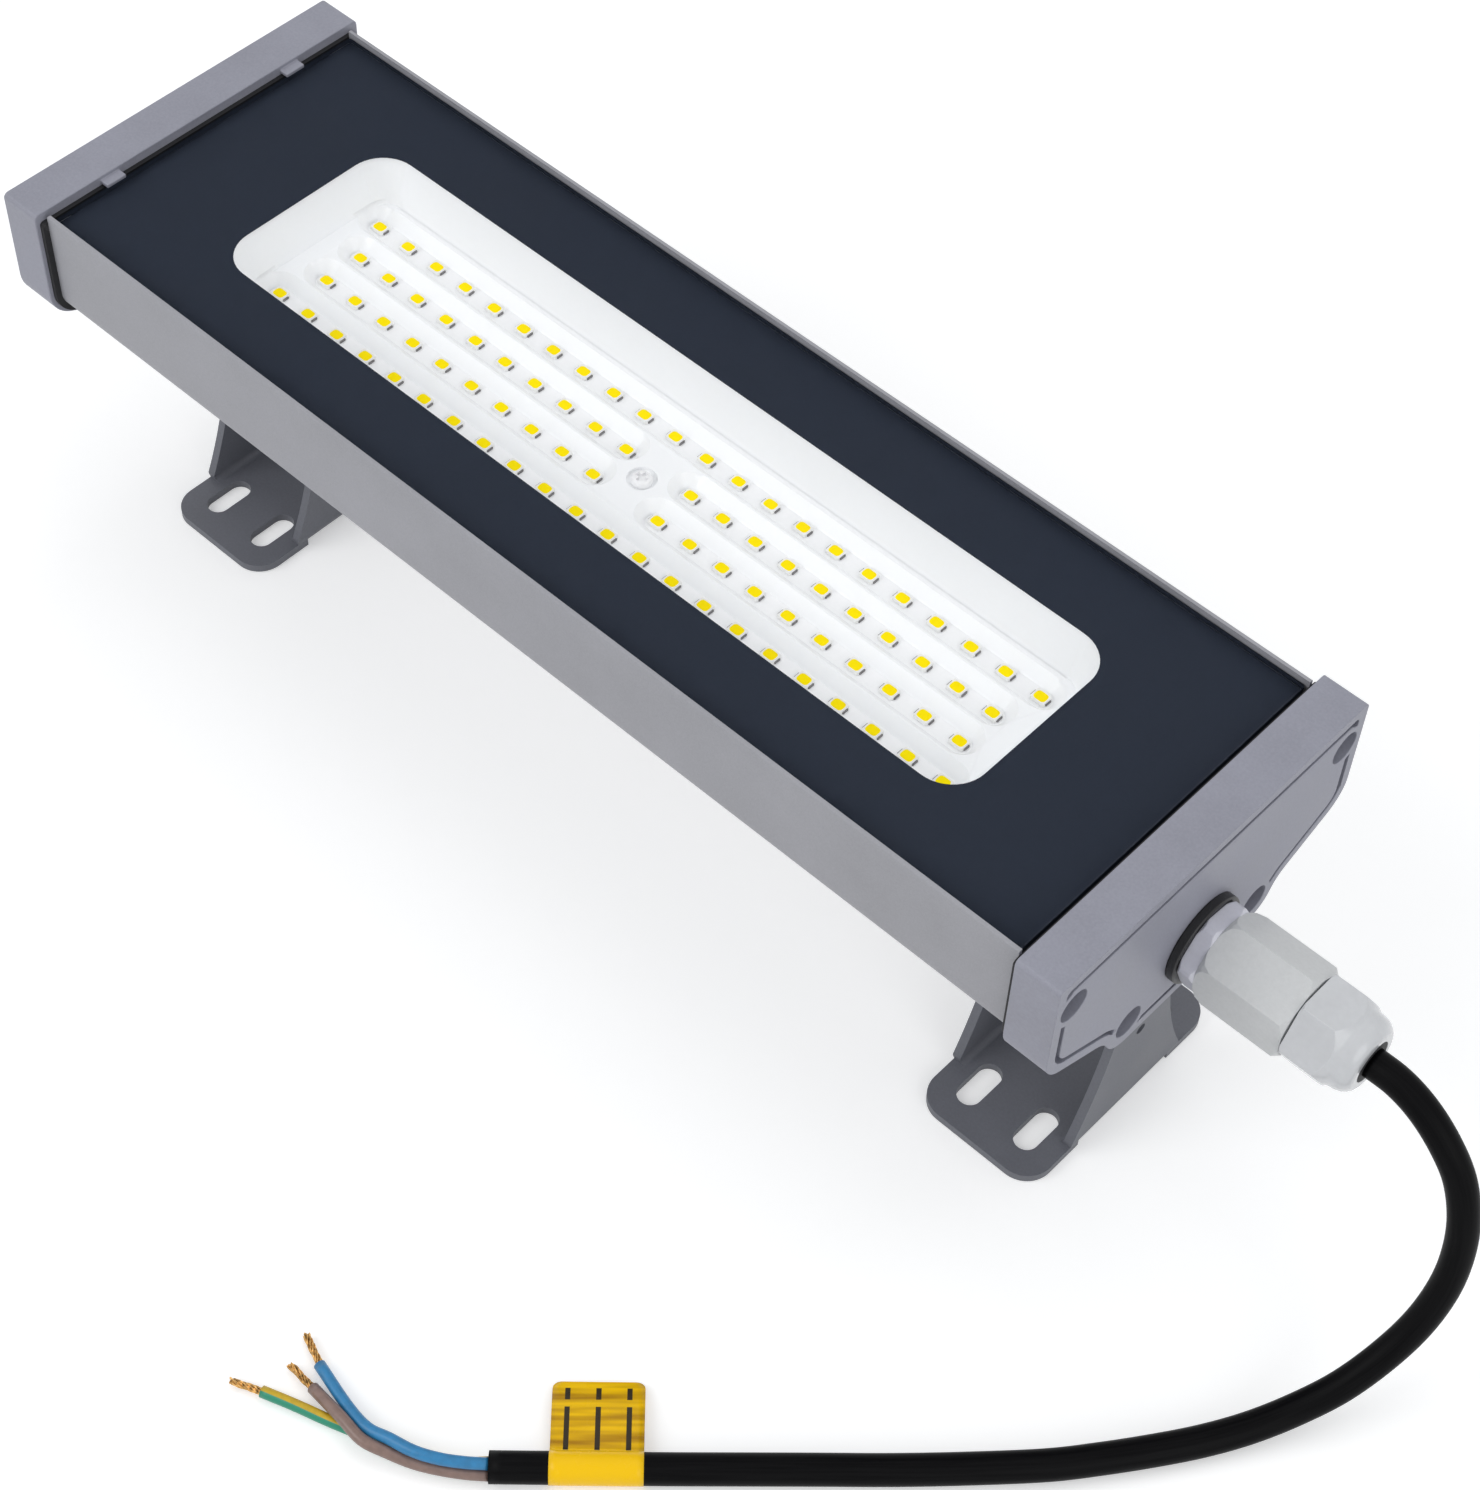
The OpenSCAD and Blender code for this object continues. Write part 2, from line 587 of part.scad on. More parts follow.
// Cable gland
washer_t = 2;
washer_r = 9.9;
adapter_l = 3.6;
gland_gap = 0.4; // shadow line between the gland pieces
gland_r = gland_af / sqrt(3);
adapter_share = 0.97; // collar over the gland body, across flats
cable_r = cable_d / 2;
gland_bore_gap = 1.3; // room round the cable in the gland body
gland_bore_r = cable_r + gland_bore_gap;
gland_nut_l = 14;
nut_shares = [
    [0.95, 0], [1, 0.04], [1, 0.52], [0.915, 0.61], [0.845, 0.665], [0.815, 0.705], [0.805, 0.77], [0.79, 0.83],
    [0.76, 0.89], [0.71, 0.94], [0.65, 0.98], [0.585, 1]];
mouth_r = 4.5;
nut_wall = 1.3;
gland_thread_l = 8;
nut_bore_r = gland_r - 2 * nut_wall;
chamfer = 1.1;
shoulder_shares = [[0.88, 0], [0.955, 0.35], [1, 1]]; // rounded start of the gland body, over its corners and shoulder_l
shoulder_l = 2.8;
collar_r = 9.45;
collar_edge = 0.6;
adapter_x = gland_x + washer_t;
gland_body_x = adapter_x + adapter_l;
gland_nut_x = gland_body_x + gland_body_l + gland_gap;
gland_end_x = gland_nut_x + gland_nut_l;
locknut_t = 4;
locknut_af = 17;
thread_out = 1.5; // thread showing past a nut
inner_end_x = half_l - cap_floor_t - locknut_t - thread_out;
half_facet = 30; // turns a hexagon from corners up to flats up
adapter_turn = 22; // the collar sits a little turned against the gland body

module gland_washer() color([0.06, 0.06, 0.06]) translate([gland_x, 0, gland_z]) rotate([0, 90, 0])
    difference() {
        cylinder(h = washer_t, r = washer_r);
        translate([0, 0, -over]) cylinder(h = washer_t + 2 * over, r = thread_r + seat_gap);
    }

module hexagon(af, h, turn) rotate([0, 0, turn]) cylinder(h = h, r = af / sqrt(3), $fn = 6);

// Hexagon with the corners turned down, gently at its start
module turned_hex(af, h) let(r = af / sqrt(3)) intersection() {
    hexagon(af, h, 0);
    rotate_extrude() polygon(concat(
        [[0, 0]], [for (p = shoulder_shares) [p[0] * r, p[1] * shoulder_l]], [[r, h - chamfer], [r - chamfer, h], [0, h]]));
}

module gland_adapter() color([0.62, 0.63, 0.66]) translate([adapter_x, 0, gland_z]) rotate([0, 90, 0])
    difference() {
        union() {
            intersection() {
                hexagon(gland_af * adapter_share, adapter_l, adapter_turn);
                rotate_extrude() polygon([
                    [0, 0], [collar_r - collar_edge, 0], [collar_r, collar_edge], [collar_r, adapter_l - collar_edge],
                    [collar_r - collar_edge, adapter_l], [0, adapter_l]]);
            }
            translate([0, 0, inner_end_x - adapter_x]) cylinder(h = adapter_x - inner_end_x + over, r = thread_r);
        }
        translate([0, 0, inner_end_x - adapter_x - over])
            cylinder(h = adapter_x - inner_end_x + adapter_l + 2 * over, r = gland_bore_r);
    }

module gland_body() color([0.76, 0.77, 0.78]) translate([gland_body_x, 0, gland_z]) rotate([0, 90, 0])
    difference() {
        union() {
            turned_hex(gland_af, gland_body_l);
            translate([0, 0, gland_body_l - over]) cylinder(h = gland_thread_l + over, r = nut_bore_r - loose_gap);
        }
        translate([0, 0, -over]) cylinder(h = gland_body_l + gland_thread_l + 2 * over, r = gland_bore_r);
    }

module gland_nut() color([0.78, 0.79, 0.8]) translate([gland_nut_x, 0, gland_z]) rotate([0, 90, 0])
    difference() {
        intersection() {
            hexagon(gland_af, gland_nut_l, half_facet);
            rotate_extrude() polygon(concat(
                [[0, 0]], [for (p = nut_shares) [p[0] * gland_r, p[1] * gland_nut_l]], [[0, gland_nut_l]]));
        }
        translate([0, 0, -over]) cylinder(h = gland_thread_l + fit_gap + over, r = nut_bore_r);
        translate([0, 0, -over]) cylinder(h = gland_nut_l + 2 * over, r = mouth_r);
    }

module gland_seal() color([0.05, 0.05, 0.05]) translate([0, 0, gland_z])
    difference() {
        translate([gland_nut_x + gland_thread_l - gland_gap, 0, 0]) rotate([0, 90, 0])
            cylinder(h = gland_nut_l - gland_thread_l + gland_gap, r = mouth_r - thread_gap);
        translate([gland_nut_x, 0, 0]) rotate([0, 90, 0]) cylinder(h = gland_nut_l + over, r = cable_r + thread_gap);
    }

module gland_locknut() color([0.75, 0.62, 0.35])
    translate([half_l - cap_floor_t - locknut_t, 0, gland_z]) rotate([0, 90, 0]) difference() {
        hexagon(locknut_af, locknut_t, half_facet);
        translate([0, 0, -over]) cylinder(h = locknut_t + 2 * over, r = thread_r + thread_gap);
    }

module inner_cable() color([0.06, 0.06, 0.06]) translate([inner_cable_x, 0, gland_z]) rotate([0, 90, 0])
    cylinder(h = gland_end_x - inner_cable_x, r = cable_r);

earth_y = 26;
earth_depth = 17;

module earth_screw() color([0.8, 0.65, 0.3])
    translate([half_l - cap_floor_t - thread_gap, -earth_y, top_z - earth_depth]) rotate([0, 0, 180])
        pan_screw(small_screw_r - thread_gap, small_head_r, small_head_h, cap_floor_t / 2);

// Hangers bolted under the body, one in each bracket
hanger_foot_t = 4;
hanger_foot_l = 23;
hanger_foot_w = 33;
hanger_block_w = 13.4;
hanger_z = top_z - body_bottom;
pivot_r = 2.5;
pivot_washer_t = 0.8;
pivot_washer_r = 6.2;
hanger_half = bracket_w / 2 - sheet_t - pivot_washer_t - 2 * seat_gap;
hanger_head_r = 3.6;
hanger_head_h = 2.2;

module hanger(x) translate([x, 0, 0]) difference() {
    union() {
        translate([-hanger_foot_l / 2, -hanger_foot_w / 2, hanger_z - hanger_foot_t])
            cube([hanger_foot_l, hanger_foot_w, hanger_foot_t]);
        along_x(-hanger_half, 2 * hanger_half) translate([0, pivot_h]) circle(hanger_block_w / 2);
        along_x(-hanger_half, 2 * hanger_half) translate([-hanger_block_w / 2, pivot_h])
            square([hanger_block_w, hanger_z - hanger_foot_t - pivot_h + bite]);
    }
    translate([-bracket_w, 0, pivot_h]) rotate([0, 90, 0]) cylinder(h = 2 * bracket_w, r = pivot_r + turn_gap);
    for (s = [-1, 1], y = [-1, 1])
        translate([s * hanger_screw_pitch / 2, y * hanger_screw_y, hanger_z - hanger_foot_t - over])
        cylinder(h = hanger_foot_t + 2 * over, r = hanger_screw_r + seat_gap);
}

module hanger_far() color([0.5, 0.5, 0.52]) hanger(far_bracket_x);

module hanger_gland() color([0.5, 0.5, 0.52]) hanger(near_bracket_x);

module hanger_screws() color([0.7, 0.7, 0.72]) for (x = hanger_screws_x, y = [-1, 1])
    translate([x, y * hanger_screw_y, hanger_z - hanger_foot_t]) rotate([0, 90, 0])
        pan_screw(hanger_screw_r - thread_gap, hanger_head_r, hanger_head_h, hanger_foot_t + body_wall);

// Foot brackets: a U of sheet with slots in its foot and waisted uprights
bend_r = 1.5; // inside radius of the folds
tab_inset = 0.35; // the foot tabs are a little narrower than the folds
upright_low_r = 3;
waist_share = 0.052; // bow of the waisted sides over their height
index_hole_r = 1.3;
side_steps = 12;

// Edge of an upright at the height share t, bowed inwards
upright_rise = pivot_h - sheet_t - bend_r;
function side_y(t) = upright_half_w + (upright_top_r - upright_half_w) * t - 4 * waist_share * upright_rise * t * (1 - t);
low_corner = arc([upright_half_w - upright_low_r, upright_low_r], upright_low_r, -90, 0, 4);
side_points = [for (i = [0 : side_steps]) [side_y(i / side_steps), sheet_t + bend_r + upright_rise * i / side_steps]];

module upright_shape() difference() {
    union() {
        polygon(concat(
            [[upright_half_w - upright_low_r, -over]], low_corner, side_points,
            mirrored(side_points), mirrored(low_corner), [[-upright_half_w + upright_low_r, -over]]));
        translate([0, pivot_h]) circle(upright_top_r);
    }
    translate([0, pivot_h]) circle(pivot_r + turn_gap);
    translate([0, pivot_h - index_drop]) circle(index_hole_r);
}

// XZ section of the folded sheet, cut off above the uprights
module fold_section() {
    outer_r = bend_r + sheet_t;
    half = bracket_w / 2;
    high = pivot_h + 2 * upright_top_r;
    difference() {
        union() {
            translate([-half + outer_r, 0]) square([2 * (half - outer_r), high]);
            translate([-half, outer_r]) square([2 * half, high - outer_r]);
            for (s = [-1, 1]) translate([s * (half - outer_r), outer_r]) circle(outer_r);
        }
        translate([-half + outer_r, sheet_t]) square([2 * (half - outer_r), high]);
        translate([-half + sheet_t, outer_r]) square([2 * (half - sheet_t), high]);
        for (s = [-1, 1]) translate([s * (half - outer_r), outer_r]) circle(bend_r);
    }
}

module bracket_slot() {
    square([slot_w, slot_l - slot_w], center = true);
    for (s = [-1, 1]) translate([0, s * (slot_l - slot_w) / 2]) circle(slot_w / 2);
}

module bracket(x) translate([x, 0, 0]) difference() {
    union() {
        intersection() {
            rotate([90, 0, 0]) translate([0, 0, -upright_half_w]) linear_extrude(2 * upright_half_w) fold_section();
            along_x(-bracket_w, 2 * bracket_w) upright_shape();
        }
        linear_extrude(sheet_t) difference() {
            rounded_plate(bracket_w - 2 * tab_inset, foot_plate_l, foot_plate_r);
            for (s = [-1, 1]) translate([s * bracket_w / 2, 0])
                square([2 * (sheet_t + bend_r), 2 * (upright_half_w - upright_low_r)], center = true);
        }
    }
    translate([0, 0, -over]) linear_extrude(sheet_t + 2 * over) for (s = [-1, 1], t = [-1, 1])
        translate([s * slot_row_gap / 2, t * slot_span / 2]) bracket_slot();
}

module bracket_far() color([0.3, 0.31, 0.33]) bracket(far_bracket_x);

module bracket_gland() color([0.3, 0.31, 0.33]) bracket(near_bracket_x);

// Pivot bolts with low heads on the outer side, nuts on the inner side
pivot_head_r = 4.7;
pivot_head_h = 2.5;
pivot_nut_af = 8;
pivot_nut_t = 4;
key_af = 3;
pivot_grip = bracket_w + 2 * seat_gap;
pivot_bolt_l = pivot_grip + pivot_nut_t + thread_out;

module at_pivots() {
    translate([near_bracket_x, 0, pivot_h]) children();
    translate([far_bracket_x, 0, pivot_h]) mirror([1, 0, 0]) children();
}

module pivot_bolts() color([0.72, 0.72, 0.74]) at_pivots() translate([pivot_grip / 2, 0, 0]) rotate([0, 90, 0])
    difference() {
        rotate_extrude() polygon(concat(
            [[0, -pivot_bolt_l], [pivot_r, -pivot_bolt_l], [pivot_r, 0]],
            [for (p = low_shares) [p[0] * pivot_head_r, p[1] * pivot_head_h]], [[0, pivot_head_h]]));
        translate([0, 0, pivot_head_h / 3]) hexagon(key_af, pivot_head_h, 0);
    }

module pivot_nuts() color([0.7, 0.7, 0.72]) at_pivots()
    translate([-pivot_grip / 2 - pivot_nut_t, 0, 0]) rotate([0, 90, 0]) difference() {
        hexagon(pivot_nut_af, pivot_nut_t, 0);
        translate([0, 0, -over]) cylinder(h = pivot_nut_t + 2 * over, r = pivot_r + thread_gap);
    }

module pivot_washers() color([0.85, 0.85, 0.82]) at_pivots() for (x = [hanger_half, -hanger_half - pivot_washer_t])
    translate([x, 0, 0]) rotate([0, 90, 0]) difference() {
        cylinder(h = pivot_washer_t, r = pivot_washer_r);
        translate([0, 0, -over]) cylinder(h = pivot_washer_t + 2 * over, r = pivot_r + turn_gap);
    }

// Cable lying on the surface: points of its middle line, chosen by hand. X is counted
// from the mouth of the gland, and Z from the surface
cable_points = [
    [0, 0, 67.2], [6, 0, 66.9], [12, -0.4, 65.1], [18, -1, 61.2], [23.2, -1.6, 55.4], [27, -3, 48],
    [29.2, -5, 40], [30.2, -8, 32], [29.7, -12.5, 24], [27.7, -18.5, 16.8], [24.7, -26, 10.8], [20.7, -33.5, 6.6],
    [16.2, -41.5, 4.2], [11.2, -49.5, 3.3], [5.7, -57.5, 3.3], [-0.3, -65.5, 3.3], [-6.8, -73.5, 3.3],
    [-16.8, -84, 3.3], [-26.8, -94, 3.3], [-36.8, -103.5, 3.3], [-47.3, -113.5, 3.3], [-57.8, -123.5, 3.3],
    [-69.55, -134.5, 3.3], [-81.3, -145.5, 3.3]];
lying_z = cable_points[23][2];
rise = (gland_z - lying_z) / (cable_points[0][2] - lying_z);
cable_route = [for (p = cable_points) [gland_end_x + p[0], p[1], lying_z + (p[2] - lying_z) * rise]];
cable_end = cable_route[23];
// The cores fan out from the cut end of the sheath; X and Y are counted from there
blue_points = [
    [0, 0, 4.7], [-5.5, -4.1, 4.3], [-11, -6.9, 4], [-17, -9.1, 3.8], [-22, -9.7, 3.5],
    [-27, -9.3, 2.2], [-32.5, -7.9, 1.4], [-38.5, -6.3, 1.4]];
brown_points = [
    [0.8, -0.9, 2.5], [-5, -6.1, 1.8], [-10.5, -9.5, 1.4], [-16.5, -11.8, 2.3], [-21.5, -12.5, 3.9],
    [-26, -11.9, 3.8], [-31, -10.5, 2.2], [-36.5, -10.4, 1.4]];
earth_points = [
    [-0.9, 0.9, 2.5], [-6, -3.5, 1.4], [-11.5, -6.8, 1.3], [-17.5, -9.3, 1.3], [-23.5, -11.5, 1.3],
    [-29.5, -13.7, 1.3], [-36, -15.9, 1.4], [-42.5, -18.3, 1.4]];
blue_tip = [-45.5, -4.7, 1];
brown_tip = [-43, -10.6, 1];
earth_tip = [-49, -20.9, 1];
function from_end(points) = [for (p = points) [cable_end[0] + p[0], cable_end[1] + p[1], p[2]]];
core_r = 1.2;
strand_r = 0.65;
cable_sides = 12;
core_sides = 8;

function unit(v) = v / norm(v);
function heading(p, i) = i == 0 ? unit(p[1] - p[0])
    : i == len(p) - 1 ? unit(p[i] - p[i - 1])
    : unit(unit(p[i + 1] - p[i]) + unit(p[i] - p[i - 1]));
// Sideways direction, carried along the route so that the rings don't twist
function across(p, i) = i == 0 ? unit(cross(heading(p, 0), [0, 0, 1]))
    : let (v = across(p, i - 1), h = heading(p, i)) unit(v - h * (v * h));

// A round tube along the points of a route, whose first ring faces along start
module tube(p, r, sides, start) {
    rings = [for (i = [0 : len(p) - 1])
        let (h = i == 0 ? start : heading(p, i))
        let (s = unit(across(p, i) - h * (across(p, i) * h)), t = cross(h, s))
        [for (k = [0 : sides - 1]) p[i] + r * (s * cos(360 * k / sides) + t * sin(360 * k / sides))]];
    faces = concat(
        [[for (k = [0 : sides - 1]) k]],
        [for (i = [0 : len(p) - 2], k = [0 : sides - 1])
            [i * sides + k, (i + 1) * sides + k, (i + 1) * sides + (k + 1) % sides, i * sides + (k + 1) % sides]],
        [[for (k = [sides - 1 : -1 : 0]) (len(p) - 1) * sides + k]]);
    polyhedron([for (ring = rings, q = ring) q], faces, convexity = 4);
}

module core(points) {
    route = from_end(points);
    tube(route, core_r, core_sides, heading(cable_route, len(cable_route) - 1));
}

module strands(points, tip) {
    last = len(points) - 1;
    tube(from_end([points[last], tip]), strand_r, core_sides, heading(points, last));
}

module cable_jacket() color([0.06, 0.06, 0.06]) tube(cable_route, cable_r, cable_sides, [1, 0, 0]);

module core_blue() color([0.16, 0.5, 0.75]) core(blue_points);

module core_brown() color([0.45, 0.36, 0.33]) core(brown_points);

module core_earth() color([0.7, 0.75, 0.15]) core(earth_points);

module strands_blue() color([0.75, 0.45, 0.2]) strands(blue_points, blue_tip);

module strands_brown() color([0.75, 0.45, 0.2]) strands(brown_points, brown_tip);

module strands_earth() color([0.75, 0.45, 0.2]) strands(earth_points, earth_tip);

// Wrapped label with a flag that lies down beside the cable
label_from = cable_route[22];
label_v = unit(cable_route[21] - cable_route[22]);
label_w = 17.6;
label_shift = 3.8; // middle of the label, from its route point
label_t = 0.12;
label_flag_l = 18.6;

module cable_label() color([0.93, 0.75, 0.1])
    translate(label_from + label_v * (label_shift - label_w / 2)) rotate([0, 0, atan2(label_v[1], label_v[0])]) {
        rotate([0, 90, 0]) difference() {
            cylinder(h = label_w, r = cable_r + thread_gap + label_t);
            translate([0, 0, -over]) cylinder(h = label_w + 2 * over, r = cable_r + thread_gap);
        }
        translate([0, cable_r + label_t / 2, 0]) rotate([-atan((label_from[2] - 3 * label_t) / label_flag_l), 0, 0])
            translate([0, 0, -label_t]) cube([label_w, label_flag_l - cable_r, 2 * label_t]);
    }

body_extrusion();
end_cap_far();
end_cap_gland();
cap_gasket_far();
cap_gasket_gland();
cap_screws_far();
cap_screws_gland();
cover_glass();
glass_border();
glass_seal();
reflector();
reflector_screw();
led_board();
led_packages();
led_phosphors();
thermal_pad();
board_screws();
driver_case();
driver_lid();
driver_screws();
output_leads();
lead_grommet();
mains_leads();
inner_cable();
earth_screw();
hanger_far();
hanger_gland();
hanger_screws();
bracket_far();
bracket_gland();
pivot_bolts();
pivot_nuts();
pivot_washers();
gland_washer();
gland_adapter();
gland_body();
gland_seal();
gland_nut();
gland_locknut();
cable_jacket();
core_blue();
core_brown();
core_earth();
strands_blue();
strands_brown();
strands_earth();
cable_label();
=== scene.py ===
import bpy, bmesh, json, math
from mathutils import Matrix, Vector


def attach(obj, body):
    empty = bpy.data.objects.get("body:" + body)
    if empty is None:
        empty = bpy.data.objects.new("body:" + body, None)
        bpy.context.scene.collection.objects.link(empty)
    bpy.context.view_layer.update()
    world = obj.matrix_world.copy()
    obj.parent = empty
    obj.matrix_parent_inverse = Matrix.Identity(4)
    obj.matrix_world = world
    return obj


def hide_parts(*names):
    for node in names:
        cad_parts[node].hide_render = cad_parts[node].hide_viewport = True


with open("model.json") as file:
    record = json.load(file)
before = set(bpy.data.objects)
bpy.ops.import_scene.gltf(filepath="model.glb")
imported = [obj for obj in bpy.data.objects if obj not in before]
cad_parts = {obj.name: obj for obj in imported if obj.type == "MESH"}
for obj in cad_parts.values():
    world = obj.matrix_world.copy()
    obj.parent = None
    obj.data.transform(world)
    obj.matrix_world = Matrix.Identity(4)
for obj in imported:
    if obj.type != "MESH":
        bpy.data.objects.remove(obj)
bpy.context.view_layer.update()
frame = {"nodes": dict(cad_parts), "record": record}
nodes = frame["nodes"]
mm = 0.001
weld = 0.000002  # corners nearer than this become one
flat = 1.5  # faces that turn by less than this, in degrees, become one
slotOf = {entry["node"]: entry["material_slot"] for entry in frame["record"]["subparts"]}
bodyOf = {node: body for body, members in frame["record"]["behaviour"]["bodies"].items() for node in members}
print("frame loaded:", len(nodes), "CAD nodes")

# the camera, solved from the photograph
view = {
    "position": (0.2952, -0.3049, 0.5410),
    "right": (0.73091, 0.68182, 0.02998),
    "down": (0.55111, -0.56373, -0.61521),
    "forward": (-0.40256, 0.46619, -0.78779),
    "lens": 75.68,
    "sensor": 36,
    "shift": (-0.0092, -0.0019),
    "nearest": 0.01,
}
cameraData = bpy.data.cameras.new("camera")
cameraData.lens = view["lens"]
cameraData.sensor_width = view["sensor"]
cameraData.sensor_fit = "HORIZONTAL"
cameraData.shift_x, cameraData.shift_y = view["shift"]
cameraData.clip_start = view["nearest"]
camera = bpy.data.objects.new("camera", cameraData)
bpy.context.collection.objects.link(camera)
cameraAxes = Matrix((view["right"], [-v for v in view["down"]], [-v for v in view["forward"]])).transposed()
camera.matrix_world = Matrix.Translation(view["position"]) @ cameraAxes.to_4x4()
bpy.context.scene.camera = camera
bpy.context.scene.view_settings.view_transform = "Standard"


# small tools for materials and node trees
def addNode(tree, kind, inputs=None, **settings):
    node = tree.nodes.new(kind)
    for key, value in settings.items():
        setattr(node, key, value)
    for key, value in (inputs or {}).items():
        if isinstance(value, bpy.types.NodeSocket):
            tree.links.new(value, node.inputs[key])
        else:
            node.inputs[key].default_value = value
    return node


def calc(tree, operation, a, b=0.0):
    return addNode(tree, "ShaderNodeMath", {0: a, 1: b}, operation=operation).outputs[0]


def times(tree, a, b):
    return calc(tree, "MULTIPLY", a, b)


def combine(tree, x=0.0, y=0.0, z=0.0):
    return addNode(tree, "ShaderNodeCombineXYZ", {0: x, 1: y, 2: z}).outputs[0]


def newMaterial(name):
    material = bpy.data.materials.new(name)
    material.use_nodes = True
    tree = material.node_tree
    return material, tree, tree.nodes["Principled BSDF"]


def objectPlace(tree):
    return addNode(tree, "ShaderNodeTexCoord").outputs["Object"]


def runPlace(tree):  # the piece's own UV map: metres along it, and a share of the way round or across it
    return addNode(tree, "ShaderNodeUVMap", uv_map="run").outputs["UV"]


def stretched(tree, vector, scale):
    return addNode(tree, "ShaderNodeMapping", {"Vector": vector, "Scale": scale}).outputs["Vector"]


def noise(tree, vector, scale, detail=2.0, roughness=0.5):
    inputs = {"Vector": vector, "Scale": scale, "Detail": detail, "Roughness": roughness}
    return addNode(tree, "ShaderNodeTexNoise", inputs).outputs["Fac"]


def spread(tree, value, low, high, fromLow=0.35, fromHigh=0.65):
    inputs = {"Value": value, "From Min": fromLow, "From Max": fromHigh, "To Min": low, "To Max": high}
    return addNode(tree, "ShaderNodeMapRange", inputs).outputs["Result"]


def blend(tree, factor, dark, light):  # each of the two is a colour or a socket
    dark, light = [side if isinstance(side, bpy.types.NodeSocket) else (*side, 1) for side in (dark, light)]
    return addNode(tree, "ShaderNodeMix", {0: factor, 6: dark, 7: light}, data_type="RGBA").outputs[2]


def shade(colour, k):
    return tuple(min(1.0, c * k) for c in colour)


def dress(tree, shader, tone, rough, height, strength, depth):  # colour, gloss and relief of a surface
    relief = addNode(tree, "ShaderNodeBump", {"Strength": strength, "Distance": depth, "Height": height})
    tree.links.new(tone, shader.inputs["Base Color"])
    tree.links.new(rough, shader.inputs["Roughness"])
    tree.links.new(relief.outputs["Normal"], shader.inputs["Normal"])


everyCoat = {"grainShare": 0.45, "grainNoise": (3.0, 0.6), "patchShare": 0.55, "patchNoise": (4.0, 0.55),
             "roughSpread": 0.05, "glossRough": 0.15}  # a noise is its detail and roughness


def coat(name, colour, rough, metal=0.0, grain=1500, bump=0.2, depth=0.00004, patch=45, tint=0.05,
         stretch=None, specular=0.5, gloss=0.0):
    # a finish with a fine grain, a slow change of tone and an uneven gloss
    material, tree, shader = newMaterial(name)
    place = objectPlace(tree)
    grains = noise(tree, stretched(tree, place, stretch) if stretch else place, grain, *everyCoat["grainNoise"])
    clouds = noise(tree, place, patch, *everyCoat["patchNoise"])
    both = calc(tree, "ADD", times(tree, grains, everyCoat["grainShare"]),
                times(tree, clouds, everyCoat["patchShare"]))
    tone = blend(tree, spread(tree, both, 0, 1), shade(colour, 1 - tint), shade(colour, 1 + tint))
    uneven = spread(tree, clouds, rough - everyCoat["roughSpread"], rough + everyCoat["roughSpread"])
    dress(tree, shader, tone, uneven, grains, bump, depth)
    shader.inputs["Metallic"].default_value = metal
    shader.inputs["Specular IOR Level"].default_value = specular
    shader.inputs["Coat Weight"].default_value = gloss
    shader.inputs["Coat Roughness"].default_value = everyCoat["glossRough"]
    return material


